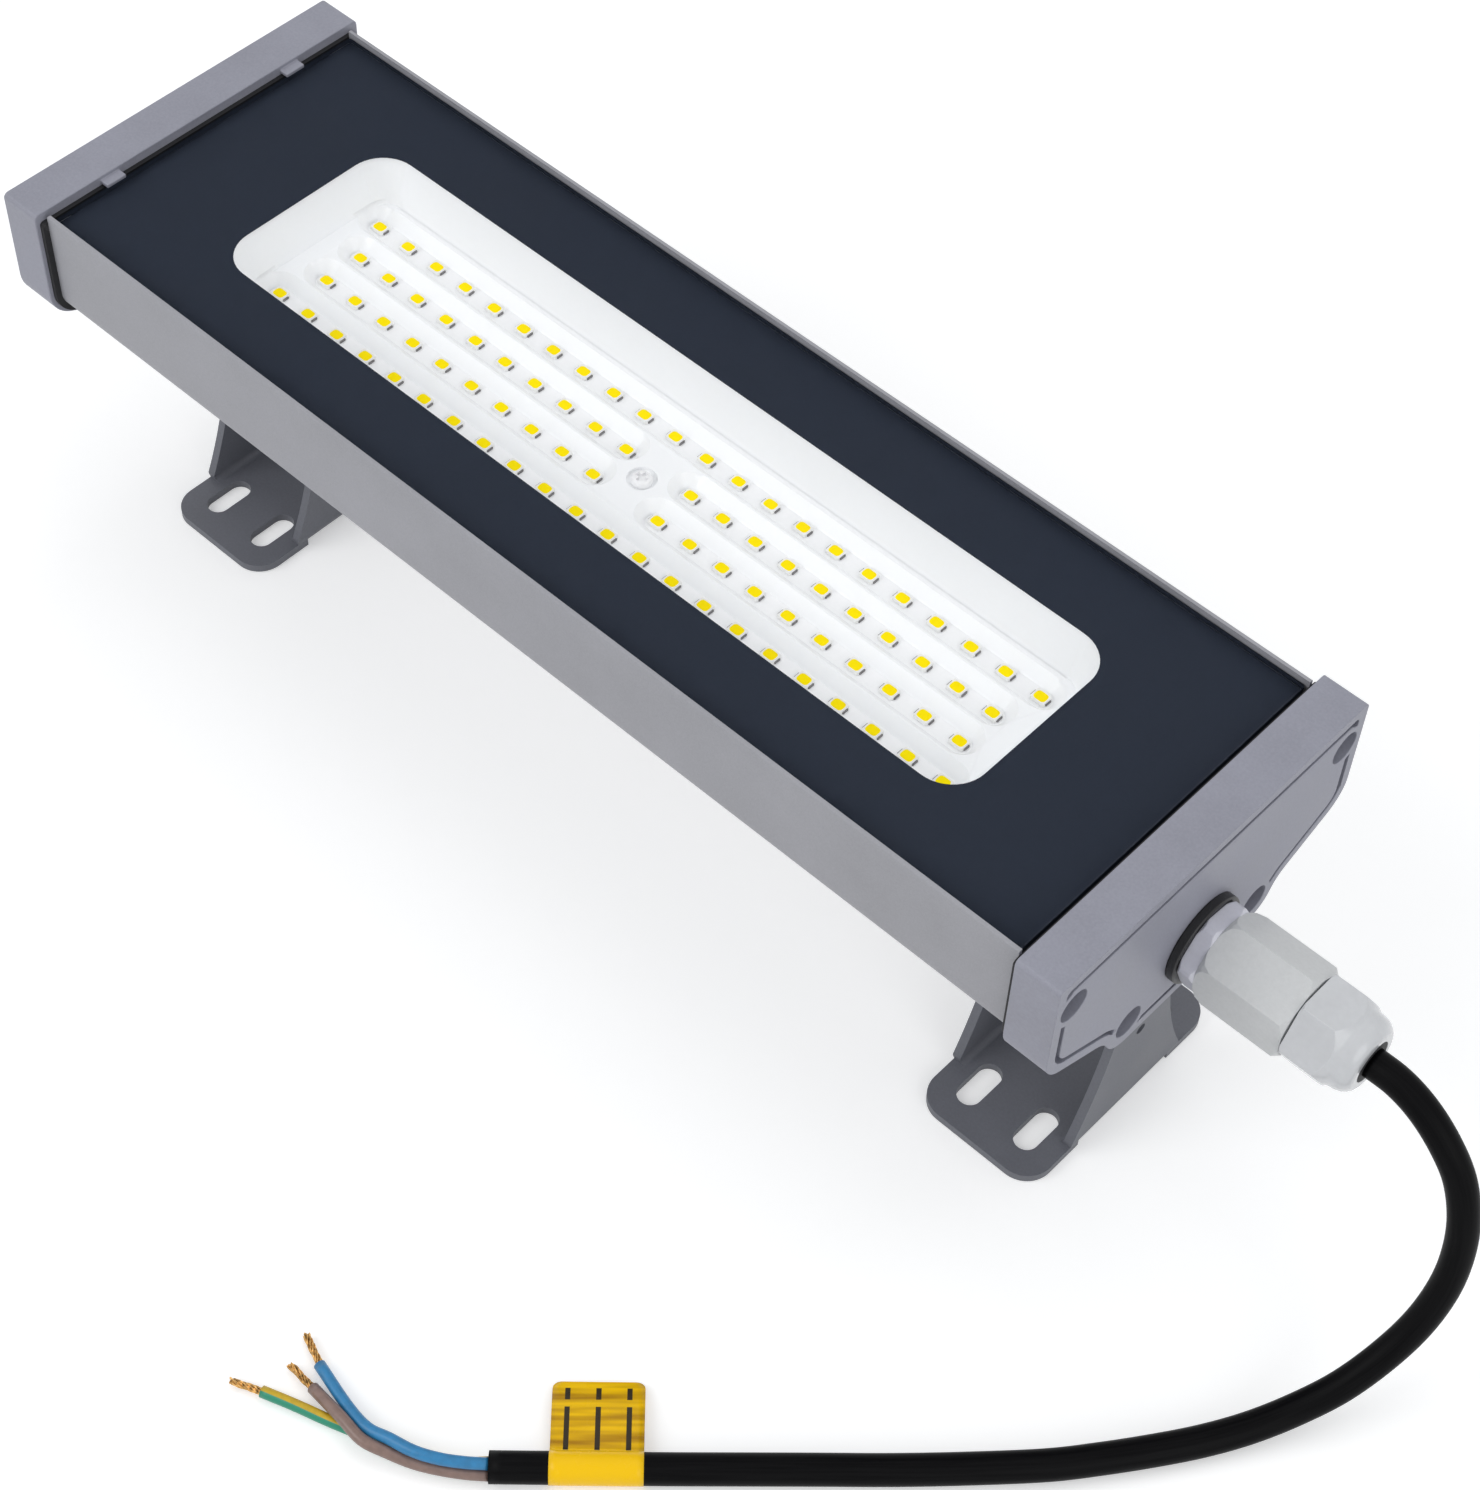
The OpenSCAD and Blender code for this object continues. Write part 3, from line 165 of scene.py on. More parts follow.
# the plain finishes, one for each kind of surface
finishes = {
    "body_paint": coat("bodyPaint", (0.342, 0.342, 0.37), 0.56, grain=2600, bump=0.55, depth=0.00006, tint=0.10),
    "cap_paint": coat("capPaint", (0.288, 0.291, 0.345), 0.5, grain=1700, bump=0.3, depth=0.00005, patch=70,
                      tint=0.09),
    "bracket_paint": coat("bracketPaint", (0.142, 0.147, 0.17), 0.5, grain=1900, bump=0.3, tint=0.10),
    "hanger_metal": coat("hangerPaint", (0.16, 0.165, 0.19), 0.5, bump=0.4, depth=0.00006),
    "plain_aluminium": coat("driverSheet", (0.62, 0.62, 0.63), 0.38, 1.0, grain=900, stretch=(0.05, 1, 1), bump=0.1),
    "screw_steel": coat("screwSteel", (0.55, 0.55, 0.56), 0.3, 1.0, grain=1800, bump=0.08, stretch=(1, 0.2, 1)),
    "brass": coat("turnedBrass", (0.72, 0.53, 0.24), 0.3, 1.0, grain=1600, bump=0.08),
    "black_rubber": coat("blackRubber", (0.018, 0.018, 0.02), 0.62, grain=1800, specular=0.3),
    "dark_plastic": coat("driverLid", (0.03, 0.03, 0.033), 0.45),
    "grey_pad": coat("thermalPad", (0.42, 0.44, 0.5), 0.7, grain=900, bump=0.3),
    "red_lead": coat("redLead", (0.42, 0.03, 0.02), 0.4, bump=0.05),
    "blue_lead": coat("mainsLead", (0.03, 0.12, 0.35), 0.4, bump=0.05),
    "nylon_washer": coat("nylonWasher", (0.7, 0.7, 0.66), 0.45, grain=1200, bump=0.05),
    "black_plastic": coat("glandRing", (0.005, 0.005, 0.006), 0.4, grain=1800, bump=0.12),
    "collar_grey": coat("glandCollar", (0.62, 0.62, 0.69), 0.34, grain=900, bump=0.06, gloss=0.25),
    "gland_grey": coat("glandNylon", (0.62, 0.63, 0.635), 0.40, grain=1100, bump=0.10, patch=90, gloss=0.15),
    "gland_gloss": coat("glandNut", (0.60, 0.61, 0.63), 0.22, grain=700, bump=0.04, tint=0.04, patch=80, gloss=0.5),
    "white_tray": coat("whiteTray", (0.965, 0.975, 0.99), 0.36, grain=900, bump=0.02, tint=0.01, gloss=0.2),
    "white_screw": coat("whiteScrew", (0.9, 0.9, 0.91), 0.35, grain=1200, bump=0.05),
    "board_white": coat("boardWhite", (0.965, 0.97, 0.98), 0.4, grain=1200, bump=0.03, tint=0.015),
    "led_white": coat("ledMoulding", (0.88, 0.88, 0.86), 0.4, bump=0.03, tint=0.02),
    "phosphor": coat("ledPhosphor", (1.0, 0.77, 0.0), 0.6, grain=3000, bump=0.25, depth=0.00003, specular=0.1),
    "dark_print": coat("glassPrint", (0.022, 0.028, 0.043), 0.6, grain=2200, bump=0.0, specular=0.1),
    # the terminals' dark grey is partly their own colour and partly painted shade along the package's ends
    "terminal": coat("ledTerminalAndShade", (0.2, 0.19, 0.19), 0.45, grain=3000, bump=0.1, specular=0.3),
    "copper": coat("bareCopper", (0.60, 0.34, 0.12), 0.28, 1.0, grain=1400, bump=0.3, patch=1100, tint=0.75),
}
phosphorPaintedGlow = {"colour": (1.0, 0.78, 0.0, 1), "strength": 0.09}  # painted glow: a fixed yellow emission that lights the phosphor whatever the lamps do
phosphorShader = finishes["phosphor"].node_tree.nodes["Principled BSDF"]
phosphorShader.inputs["Emission Color"].default_value = phosphorPaintedGlow["colour"]
phosphorShader.inputs["Emission Strength"].default_value = phosphorPaintedGlow["strength"]

glassLook = {"smears": 18, "dark": (0.99, 0.995, 0.995), "light": (0.998, 1.0, 1.0), "ior": 1.45, "specular": 0.12,
             "plainShare": 1.0}


def glassFinish():
    material, tree, shader = newMaterial("clearGlass")
    smears = noise(tree, objectPlace(tree), glassLook["smears"], 3.0)
    tint = blend(tree, spread(tree, smears, 0, 1), glassLook["dark"], glassLook["light"])
    tree.links.new(tint, shader.inputs["Base Color"])
    shader.inputs["Roughness"].default_value = 0.0
    shader.inputs["Specular IOR Level"].default_value = glassLook["specular"]
    shader.inputs["Transmission Weight"].default_value = 1.0
    shader.inputs["IOR"].default_value = glassLook["ior"]
    # the export reads the shader above; the render takes the plain refraction, which bends light and mirrors nothing
    plain = addNode(tree, "ShaderNodeBsdfRefraction", {"Roughness": 0.0, "IOR": glassLook["ior"]})
    glassy = addNode(tree, "ShaderNodeMixShader",
                     {0: glassLook["plainShare"], 1: shader.outputs[0], 2: plain.outputs[0]})
    path = tree.nodes.new("ShaderNodeLightPath")
    clear = tree.nodes.new("ShaderNodeBsdfTransparent")
    passing = calc(tree, "MAXIMUM", path.outputs["Is Shadow Ray"], path.outputs["Is Diffuse Ray"])
    mix = addNode(tree, "ShaderNodeMixShader", {0: passing, 1: glassy.outputs[0], 2: clear.outputs[0]})
    tree.links.new(mix.outputs[0], tree.nodes["Material Output"].inputs["Surface"])
    return material


sheathLook = {"streaks": (60, 40, 1), "pores": 2600, "poreShare": 0.5, "dark": (0.0015, 0.0015, 0.002),
              "light": (0.004, 0.004, 0.0045), "rough": (0.36, 0.46), "relief": (0.25, 0.00005), "specular": 0.06}


def sheathFinish():  # a drawn rubber sheath: faint rings and length-wise streaks on its own UV run
    material, tree, shader = newMaterial("cableSheath")
    streaks = noise(tree, stretched(tree, runPlace(tree), sheathLook["streaks"]), 1.0, 3.0)
    pores = noise(tree, objectPlace(tree), sheathLook["pores"], 2.0)
    tone = blend(tree, spread(tree, streaks, 0, 1), sheathLook["dark"], sheathLook["light"])
    height = calc(tree, "ADD", times(tree, pores, sheathLook["poreShare"]), streaks)
    dress(tree, shader, tone, spread(tree, streaks, *sheathLook["rough"]), height, *sheathLook["relief"])
    shader.inputs["Specular IOR Level"].default_value = sheathLook["specular"]
    return material


coreLook = {"dirt": 700, "dark": 0.9, "light": 1.08, "rough": (0.28, 0.42), "relief": (0.12, 0.00003),
            "stripeTwist": 1.5, "stripeMiddle": 0.61, "stripeEdge": (0.235, 0.255)}  # twist in turns per metre


def coreFinish(name, base, stripe=None):  # insulation of a core; on the earth core half of its girth is another colour
    material, tree, shader = newMaterial(name)
    dirt = noise(tree, objectPlace(tree), coreLook["dirt"], 3.0)
    tone = blend(tree, spread(tree, dirt, 0, 1), shade(base, coreLook["dark"]), shade(base, coreLook["light"]))
    if stripe:
        run = addNode(tree, "ShaderNodeSeparateXYZ", {0: runPlace(tree)})
        twist = times(tree, run.outputs["X"], coreLook["stripeTwist"])
        turn = calc(tree, "FRACT", calc(tree, "ADD", run.outputs["Y"], twist))
        off = calc(tree, "ABSOLUTE", calc(tree, "SUBTRACT", turn, coreLook["stripeMiddle"]))
        tone = blend(tree, spread(tree, off, 1, 0, *coreLook["stripeEdge"]), tone, stripe)
    dress(tree, shader, tone, spread(tree, dirt, *coreLook["rough"]), dirt, *coreLook["relief"])
    return material


labelLook = {  # lengths across the flag are in metres from its tip
    # fold and the paintedBand entries make the painted reflection bands on the flag
    "film": (1.0, 0.60, 0.0), "fold": (0.42, 0.20, 0.0), "ink": (0.035, 0.025, 0.012),
    "folds": (420.0, 0.5), "paintedBandEdge": (0.38, 0.62), "paintedBandShare": 0.95, "flagEnd": 0.0165, "crease": 160,
    "bars": 3.0, "barHalf": 0.085, "barFrom": 0.0016, "barTo": 0.0152, "breakAt": 0.0052, "breakHalf": 0.0008,
    "rough": (0.18, 0.32), "relief": (0.4, 0.0002), "specular": 0.25,
}


def labelFinish():  # glossy yellow film with three plain dark bars across the flag
    material, tree, shader = newMaterial("labelFilm")
    run = addNode(tree, "ShaderNodeSeparateXYZ", {0: runPlace(tree)})
    across, along = run.outputs["X"], run.outputs["Y"]
    crease = noise(tree, objectPlace(tree), labelLook["crease"], 3.0)
    # painted reflection: darker orange bands across the flag stand in for the glossy film mirroring its surroundings
    paintedBandPlace = combine(tree, times(tree, across, labelLook["folds"][0]), times(tree, along, labelLook["folds"][1]))
    folds = spread(tree, noise(tree, paintedBandPlace, 1.0, 2.0), 0, 1, *labelLook["paintedBandEdge"])
    paintedBandsOnFlag = times(tree, folds, calc(tree, "LESS_THAN", across, labelLook["flagEnd"]))
    film = blend(tree, times(tree, paintedBandsOnFlag, labelLook["paintedBandShare"]), labelLook["film"], labelLook["fold"])
    row = calc(tree, "SUBTRACT", calc(tree, "FRACT", times(tree, along, labelLook["bars"])), 0.5)
    bar = calc(tree, "LESS_THAN", calc(tree, "ABSOLUTE", row), labelLook["barHalf"])
    inside = times(tree, calc(tree, "GREATER_THAN", across, labelLook["barFrom"]),
                   calc(tree, "LESS_THAN", across, labelLook["barTo"]))
    off = calc(tree, "ABSOLUTE", calc(tree, "SUBTRACT", across, labelLook["breakAt"]))
    ink = times(tree, times(tree, bar, inside), calc(tree, "GREATER_THAN", off, labelLook["breakHalf"]))
    dress(tree, shader, blend(tree, ink, film, labelLook["ink"]), spread(tree, crease, *labelLook["rough"]), crease,
          *labelLook["relief"])
    shader.inputs["Specular IOR Level"].default_value = labelLook["specular"]
    return material


finishes["clear_glass"] = glassFinish()
finishes["cable_black"] = sheathFinish()
finishes["core_blue"] = coreFinish("blueCore", (0.028, 0.22, 0.46))
finishes["core_brown"] = coreFinish("brownCore", (0.25, 0.165, 0.14))
finishes["core_earth"] = coreFinish("earthCore", (0.60, 0.40, 0.02), (0.02, 0.28, 0.17))
finishes["label_yellow"] = labelFinish()
print("finishes:", len(finishes))


# small tools for pieces
def link(name, mesh, slot):
    piece = bpy.data.objects.new(name, mesh)
    bpy.context.collection.objects.link(piece)
    mesh.materials.clear()
    mesh.materials.append(finishes[slot])
    return piece


def settle(piece, slot, *replaced):
    if replaced:
        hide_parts(*replaced)
    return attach(piece, bodyOf[replaced[0]] if replaced else "housing")


def toMesh(bm, name):
    mesh = bpy.data.meshes.new(name)
    bm.to_mesh(mesh)
    bm.free()
    return mesh


def outwards(bm):
    bmesh.ops.recalc_face_normals(bm, faces=bm.faces)
    return bm


def shadeSmooth(mesh, crisp):  # edges sharper than the angle stay crisp
    for face in mesh.polygons:
        face.use_smooth = True
    mesh.set_sharp_from_angle(angle=math.radians(crisp))


def finished(piece):  # the piece's mesh with its modifiers worked into it
    bpy.context.view_layer.update()
    return bpy.data.meshes.new_from_object(piece.evaluated_get(bpy.context.evaluated_depsgraph_get()))


def smoothRoute(points, steps):  # Catmull-Rom through the route's points
    pts = [Vector(p) for p in points]
    ends = [pts[0] * 2 - pts[1]] + pts + [pts[-1] * 2 - pts[-2]]
    out = []
    for i in range(1, len(ends) - 2):
        a, b, c, d = ends[i - 1:i + 3]
        for k in range(steps):
            t = k / steps
            bent = 2 * b + (c - a) * t + (2 * a - 5 * b + 4 * c - d) * t * t
            out.append(0.5 * (bent + (3 * b - a - 3 * c + d) * t ** 3))
    out.append(pts[-1])
    return out


def routeLength(points):
    return sum((b - a).length for a, b in zip(points, points[1:]))


def tube(name, route, radius, sides, slot, start, hollow, recess=0.0015):
    # its cut end shows the wall of the sheath, hollow being the share of the radius inside it
    bm = bmesh.new()
    uvLayer = bm.loops.layers.uv.new("run")
    side, run, along, rings = None, 0.0, [], []
    turns = [2 * math.pi * k / sides for k in range(sides)]
    for i, p in enumerate(route):
        ahead = (route[min(i + 1, len(route) - 1)] - route[max(i - 1, 0)]).normalized()
        if i == 0:
            ahead = Vector(start)
            side = ahead.cross(Vector((0, 0, 1))).normalized()
        else:
            side = (side - ahead * side.dot(ahead)).normalized()
            run += (p - route[i - 1]).length
        up = side.cross(ahead)
        rings.append([bm.verts.new(p + radius * (side * math.cos(t) + up * math.sin(t))) for t in turns])
        along.append(run)
    for i in range(len(rings) - 1):
        for k in range(sides):
            n = (k + 1) % sides
            face = bm.faces.new((rings[i][k], rings[i][n], rings[i + 1][n], rings[i + 1][k]))
            face.smooth = True
            for loop, (a, v) in zip(face.loops, ((i, k), (i, k + 1), (i + 1, k + 1), (i + 1, k))):
                loop[uvLayer].uv = (along[a], v / sides)
    bm.faces.new(rings[0])
    last, ahead = route[-1], (route[-1] - route[-2]).normalized()
    inner = [bm.verts.new(last + (v.co - last) * hollow) for v in rings[-1]]
    deep = [bm.verts.new(v.co - ahead * recess) for v in inner]
    for k in range(sides):
        n = (k + 1) % sides
        bm.faces.new((rings[-1][k], rings[-1][n], inner[n], inner[k]))
        bm.faces.new((inner[k], inner[n], deep[n], deep[k]))
    bm.faces.new(deep)
    return link(name, toMesh(outwards(bm), name), slot)


# Geometry Nodes: a tree with named inputs, run on a base mesh and turned into a plain mesh
def newTree(name, inputs):
    tree = bpy.data.node_groups.new(name, "GeometryNodeTree")
    tree.interface.new_socket("Geometry", in_out="INPUT", socket_type="NodeSocketGeometry")
    ids = {}
    for label, kind in inputs.items():
        ids[label] = tree.interface.new_socket(label, in_out="INPUT", socket_type="NodeSocket" + kind).identifier
    tree.interface.new_socket("Geometry", in_out="OUTPUT", socket_type="NodeSocketGeometry")
    return tree, ids, tree.nodes.new("NodeGroupInput").outputs


def closeTree(tree, geometry, slot):
    real = addNode(tree, "GeometryNodeRealizeInstances", {0: geometry})
    painted = addNode(tree, "GeometryNodeSetMaterial", {"Geometry": real.outputs[0], "Material": finishes[slot]})
    tree.links.new(painted.outputs[0], tree.nodes.new("NodeGroupOutput").inputs[0])


def runTree(name, baseMesh, tree, ids, values, slot, crisp):
    base = bpy.data.objects.new(name + "Base", baseMesh)
    bpy.context.collection.objects.link(base)
    modifier = base.modifiers.new(name, "NODES")
    modifier.node_group = tree
    for label, value in values.items():
        modifier[ids[label]] = value
    mesh = finished(base)
    bpy.data.objects.remove(base)
    shadeSmooth(mesh, crisp)
    return link(name, mesh, slot)


def meshLine(tree, count, start, step):
    inputs = {"Count": count, "Start Location": start, "Offset": step}
    return addNode(tree, "GeometryNodeMeshLine", inputs).outputs[0]


# copies of CAD shapes
def softCopy(node, width, angle, crisp, segments=2):  # its edges eased as paint, casting or moulding leaves them
    bm = bmesh.new()
    bm.from_mesh(nodes[node].data)
    bmesh.ops.remove_doubles(bm, verts=bm.verts, dist=weld)
    bmesh.ops.dissolve_limit(bm, angle_limit=math.radians(flat), verts=bm.verts, edges=bm.edges)
    mesh = toMesh(bm, node + "Soft")
    shadeSmooth(mesh, crisp)
    piece = link(node + "Soft", mesh, slotOf[node])
    bevel = piece.modifiers.new("ease", "BEVEL")
    bevel.width, bevel.segments, bevel.limit_method = width, segments, "ANGLE"
    bevel.angle_limit = math.radians(angle)
    bevel.use_clamp_overlap = True
    bevel.miter_outer = "MITER_ARC"
    return keepNormals(piece, node)


def smoothCopy(node, crisp):  # its shape as it is, with its round faces shaded smooth
    mesh = nodes[node].data.copy()
    bm = bmesh.new()
    bm.from_mesh(mesh)
    bmesh.ops.remove_doubles(bm, verts=bm.verts, dist=weld)
    bm.to_mesh(mesh)
    bm.free()
    shadeSmooth(mesh, crisp)
    return keepNormals(link(node + "Smooth", mesh, slotOf[node]), node)


def keepNormals(piece, node):
    piece.modifiers.new("normals", "WEIGHTED_NORMAL").keep_sharp = True
    done = finished(piece)
    piece.modifiers.clear()
    piece.data = done
    return settle(piece, slotOf[node], node)


# cable and cores: points, tips and mouth are in millimetres, chosen along the photographed ones;
# diameters are in metres
cable = {
    "mouth": 182.8,  # X of the gland's mouth, from which the points count
    "diameter": 0.0062, "sides": 32, "steps": 6, "hollow": 0.86,
    "points": [
        (0, 0, 67.2), (6, 0, 66.9), (12, -0.4, 65.1), (18, -1, 61.2), (23.2, -1.6, 55.4), (27, -3, 48),
        (29.2, -5, 40), (30.1, -8, 32), (29.6, -12.5, 24), (27.7, -18.5, 16.8), (24.7, -26, 10.8), (20.7, -33.5, 6.6),
        (16.2, -41.5, 4.2), (11.2, -49.5, 3.3), (5.7, -57.5, 3.3), (-0.3, -65.5, 3.3), (-6.8, -73.5, 3.3),
        (-16.8, -84, 3.3), (-26.8, -94, 3.3), (-36.8, -103.5, 3.3), (-47.3, -113.5, 3.3), (-57.8, -123.5, 3.3),
        (-69.55, -134.5, 3.3), (-81.3, -145.5, 3.3)],
}
cores = {  # X and Y from the cut end of the cable, Z from the floor
    "diameter": 0.0024, "sides": 20, "steps": 5, "hollow": 0.6,
    "points": {
        "core_blue": [(0, 0, 4.7), (-3.1, -2.8, 5.0), (-7.0, -5.6, 5.1), (-11.6, -7.9, 5.1), (-17.0, -9.2, 4.6),
                      (-21.9, -10.3, 3.7), (-28.5, -9.5, 2.6), (-38.8, -7.1, 1.4)],
        "core_brown": [(0.8, -0.9, 2.5), (-2.4, -3.6, 2.6), (-6.5, -6.4, 2.6), (-11.0, -8.9, 2.6),
                       (-15.9, -11.0, 3.2), (-20.7, -12.7, 4.0), (-26.9, -12.2, 3.7), (-36.1, -11.2, 1.4)],
        "core_earth": [(-0.9, 0.9, 2.5), (-6, -3.5, 1.4), (-11.5, -6.8, 1.3), (-17.5, -9.3, 1.3),
                       (-23.5, -11.5, 1.3), (-29.5, -13.7, 1.3), (-36, -15.9, 1.4), (-42.5, -18.3, 1.4)]},
    "tips": {"core_blue": (-45.8, -4.6, 1.0), "core_brown": (-43, -10.9, 1.0), "core_earth": (-49, -20.9, 1.0)},
}
strands = {"wires": 7, "wireRadius": 0.0002, "bundle": 0.00056, "innerShare": 0.42, "innerStart": 0.4, "turns": 0.9,
           "splay": 0.02, "shortest": 0.9, "tipShare": 0.7, "hidden": 0.0012, "sides": 7, "bends": 26, "crisp": 35,
           "seed": 4}

cableRoute = [Vector(((cable["mouth"] + x) * mm, y * mm, z * mm)) for x, y, z in cable["points"]]
cableLine = smoothRoute(cableRoute, cable["steps"])
cutEnd = cableRoute[-1]
cutHeading = (cableLine[-1] - cableLine[-2]).normalized()
jacket = tube("cableJacket", cableLine, cable["diameter"] / 2, cable["sides"], "cable_black", (1, 0, 0),
              cable["hollow"])


def fromCut(x, y, z):
    return cutEnd + Vector((x * mm, y * mm, z * mm - cutEnd.z))


def wireMesh(length):  # an outer and an inner wire, both winding round the X axis
    sides, bends, bundle = strands["sides"], strands["bends"], strands["bundle"]
    bm = bmesh.new()
    ring = [2 * math.pi * n / sides for n in range(sides)]
    for off, start in ((bundle, 0.0), (bundle * strands["innerShare"], strands["innerStart"])):
        rings = []
        for k in range(bends + 1):
            turn = start + 2 * math.pi * strands["turns"] * k / bends
            middle = Vector((length * k / bends, off * math.cos(turn), off * math.sin(turn)))
            r = strands["wireRadius"] * (1 if 0 < k < bends else strands["tipShare"])
            rings.append([bm.verts.new(middle + r * Vector((0, math.cos(n), math.sin(n)))) for n in ring])
        for a, b in zip(rings, rings[1:]):
            for k in range(sides):
                bm.faces.new((a[k], a[(k + 1) % sides], b[(k + 1) % sides], b[k]))
        bm.faces.new(rings[0])
        bm.faces.new(rings[-1])
    return toMesh(outwards(bm), "wire")


def strandTree():  # the pair of wires turned about the axis once for each strand, with uneven ends and a slight splay
    tree, ids, given = newTree("strandBundle", {"Wires": "Int", "Splay": "Float", "Seed": "Int"})
    spots = meshLine(tree, given["Wires"], (0, 0, 0), (0, 0, 0))
    number = tree.nodes.new("GeometryNodeInputIndex").outputs[0]

    def chance(low, high, seed):
        inputs = {2: low, 3: high, 7: number, 8: seed}
        return addNode(tree, "FunctionNodeRandomValue", inputs, data_type="FLOAT").outputs[1]

    roll = calc(tree, "DIVIDE", times(tree, number, 2 * math.pi), given["Wires"])
    back = times(tree, given["Splay"], -1.0)
    tilts = [chance(back, given["Splay"], calc(tree, "ADD", given["Seed"], k)) for k in (1.0, 2.0)]
    reach = chance(strands["shortest"], 1.0, given["Seed"])
    placed = addNode(tree, "GeometryNodeInstanceOnPoints", {
        "Points": spots, "Instance": given["Geometry"], "Rotation": combine(tree, roll, *tilts),
        "Scale": combine(tree, reach, 1.0, 1.0)})
    closeTree(tree, placed.outputs[0], "copper")
    return tree, ids


strandBundle, strandIds = strandTree()
corePieces, strandPieces = {}, {}
for node, points in cores["points"].items():
    line = smoothRoute([fromCut(*p) for p in points], cores["steps"])
    core = tube(node + "Piece", line, cores["diameter"] / 2, cores["sides"], node, cutHeading, cores["hollow"])
    corePieces[node] = (core, line)
    colour = node.split("_")[1]
    heading = (line[-1] - line[-2]).normalized()
    toTip = fromCut(*cores["tips"][node]) - line[-1]
    values = {"Wires": strands["wires"], "Splay": strands["splay"], "Seed": strands["seed"] + len(strandPieces)}
    piece = runTree("strands" + colour.capitalize(), wireMesh(toTip.length + strands["hidden"]), strandBundle,
                    strandIds, values, "copper", strands["crisp"])
    aim = toTip.normalized().to_track_quat("X", "Z").to_matrix().to_4x4()
    piece.data.transform(Matrix.Translation(line[-1] - heading * strands["hidden"]) @ aim)
    strandPieces[node] = settle(piece, "copper", "strands_" + colour)

# the label: a film wrapped round the cable, its two ends stuck together as a flag
label = {"point": 22, "width": 0.0176, "shift": 0.0038, "reach": 0.0155, "clear": 0.00006, "round": 0.0017,
         "thick": 0.00012, "sag": (0.0024, 1.4), "ripple": (0.0003, 5.2), "rows": 12, "wrapStep": 12,
         "tipShares": [0, 0.004, 0.012, 0.024, 0.04, 0.06, 0.085, 0.115], "flagSteps": 14}
labelFrom = cableRoute[label["point"]]
labelAhead = (cableRoute[label["point"] - 1] - labelFrom).normalized()
labelSide = Vector((-labelAhead.y, labelAhead.x, 0))


def labelSection():  # (sideways, height from the cable's middle), from the flag's tip to the cable and round it
    r = cable["diameter"] / 2 + label["clear"]
    (sag, power), (ripple, waves) = label["sag"], label["ripple"]
    shares = label["tipShares"] + [k / label["flagSteps"] for k in range(2, label["flagSteps"])]
    flag = [(r + label["reach"] * (1 - t), -sag * (1 - t) ** power + ripple * math.sin(waves * t)) for t in shares]
    turns = [math.radians(a) for a in range(0, 361, label["wrapStep"])]
    return flag + [(r * math.cos(a), r * math.sin(a)) for a in turns]


def labelPiece():
    section, rows, corner = labelSection(), label["rows"], label["round"]
    run, columns = 0.0, []
    bm = bmesh.new()
    uvLayer = bm.loops.layers.uv.new("run")
    for i, (s, h) in enumerate(section):
        if i:
            run += math.dist(section[i], section[i - 1])
        short = max(0.0, corner - run)  # the flag's two corners are round
        half = label["width"] / 2 - (corner - math.sqrt(max(0.0, corner ** 2 - short ** 2)))
        column = []
        for k in range(rows + 1):
            v = -half + 2 * half * k / rows
            p = labelFrom + labelAhead * (label["shift"] + v) + labelSide * s + Vector((0, 0, h))
            column.append((bm.verts.new(p), run, v / label["width"] + 0.5))
        columns.append(column)
    for a, b in zip(columns, columns[1:]):
        for k in range(rows):
            corners = (a[k], b[k], b[k + 1], a[k + 1])
            face = bm.faces.new([c[0] for c in corners])
            face.smooth = True
            for loop, c in zip(face.loops, corners):
                loop[uvLayer].uv = c[1:]
    piece = link("labelPiece", toMesh(bm, "labelPiece"), "label_yellow")
    shell = piece.modifiers.new("film", "SOLIDIFY")
    shell.thickness, shell.offset = label["thick"], 0.0
    return piece


labelObject = settle(labelPiece(), "label_yellow", "cable_label")
coreLengths = [round(routeLength(line), 4) for _, line in corePieces.values()]
print("cable", round(routeLength(cableLine), 4), "m; cores", coreLengths)

# the body: one profile pushed along its length; a corner or foot is (Y, depth, radius), and steps are for its arcs
body = {"height": 96, "length": 263.6, "half": 42.6, "top": 0.9, "edge": 0.3, "corner": (37.0, 22.7, 8.0),
        "foot": (19.0, 37.3, 6.2), "drop": 3.8, "fillet": 8.0, "inset": 2.4, "lip": 0.9, "ledge": 5.7,
        "ledgeHalf": 36.7, "floor": 19.7, "steps": (4, 14, 8, 14), "crisp": 32}


def arc(cx, cy, r, a0, a1, steps):
    turns = [math.radians(a0 + (a1 - a0) * i / steps) for i in range(steps + 1)]
    return [(cx + r * math.cos(t), cy + r * math.sin(t)) for t in turns]


def bodySide():  # right half of the outline as (Y, -depth), from the lip down to the middle of the sole
    (kx, kd, kr), (fx, fd, fr), fillet = body["corner"], body["foot"], body["fillet"]
    low = fr - body["drop"]
    vx, vy = fx - kx, kd - fd
    slope = math.degrees(math.atan2(vy, vx)) + math.degrees(math.acos((kr - low) / math.hypot(vx, vy)))
    nx, ny = math.cos(math.radians(slope)), math.sin(math.radians(slope))
    run = math.sqrt((fillet + fr) ** 2 - (fillet + low) ** 2)
    cx, cy = fx + nx * (low + fillet) - ny * run, -fd + ny * (low + fillet) + nx * run
    turn = math.degrees(math.atan2(-fd - cy, fx - cx))
    inset, edge, steps = body["inset"], body["edge"], body["steps"]
    return (arc(body["half"] - edge, -body["top"] - edge, edge, 90, 0, steps[0])
            + arc(kx, -kd, kr - inset, 0, slope, steps[1])
            + arc(cx, cy, fillet + inset, slope + 180, turn, steps[2])
            + arc(fx, -fd, fr - inset, turn - 180, -90, steps[3]))


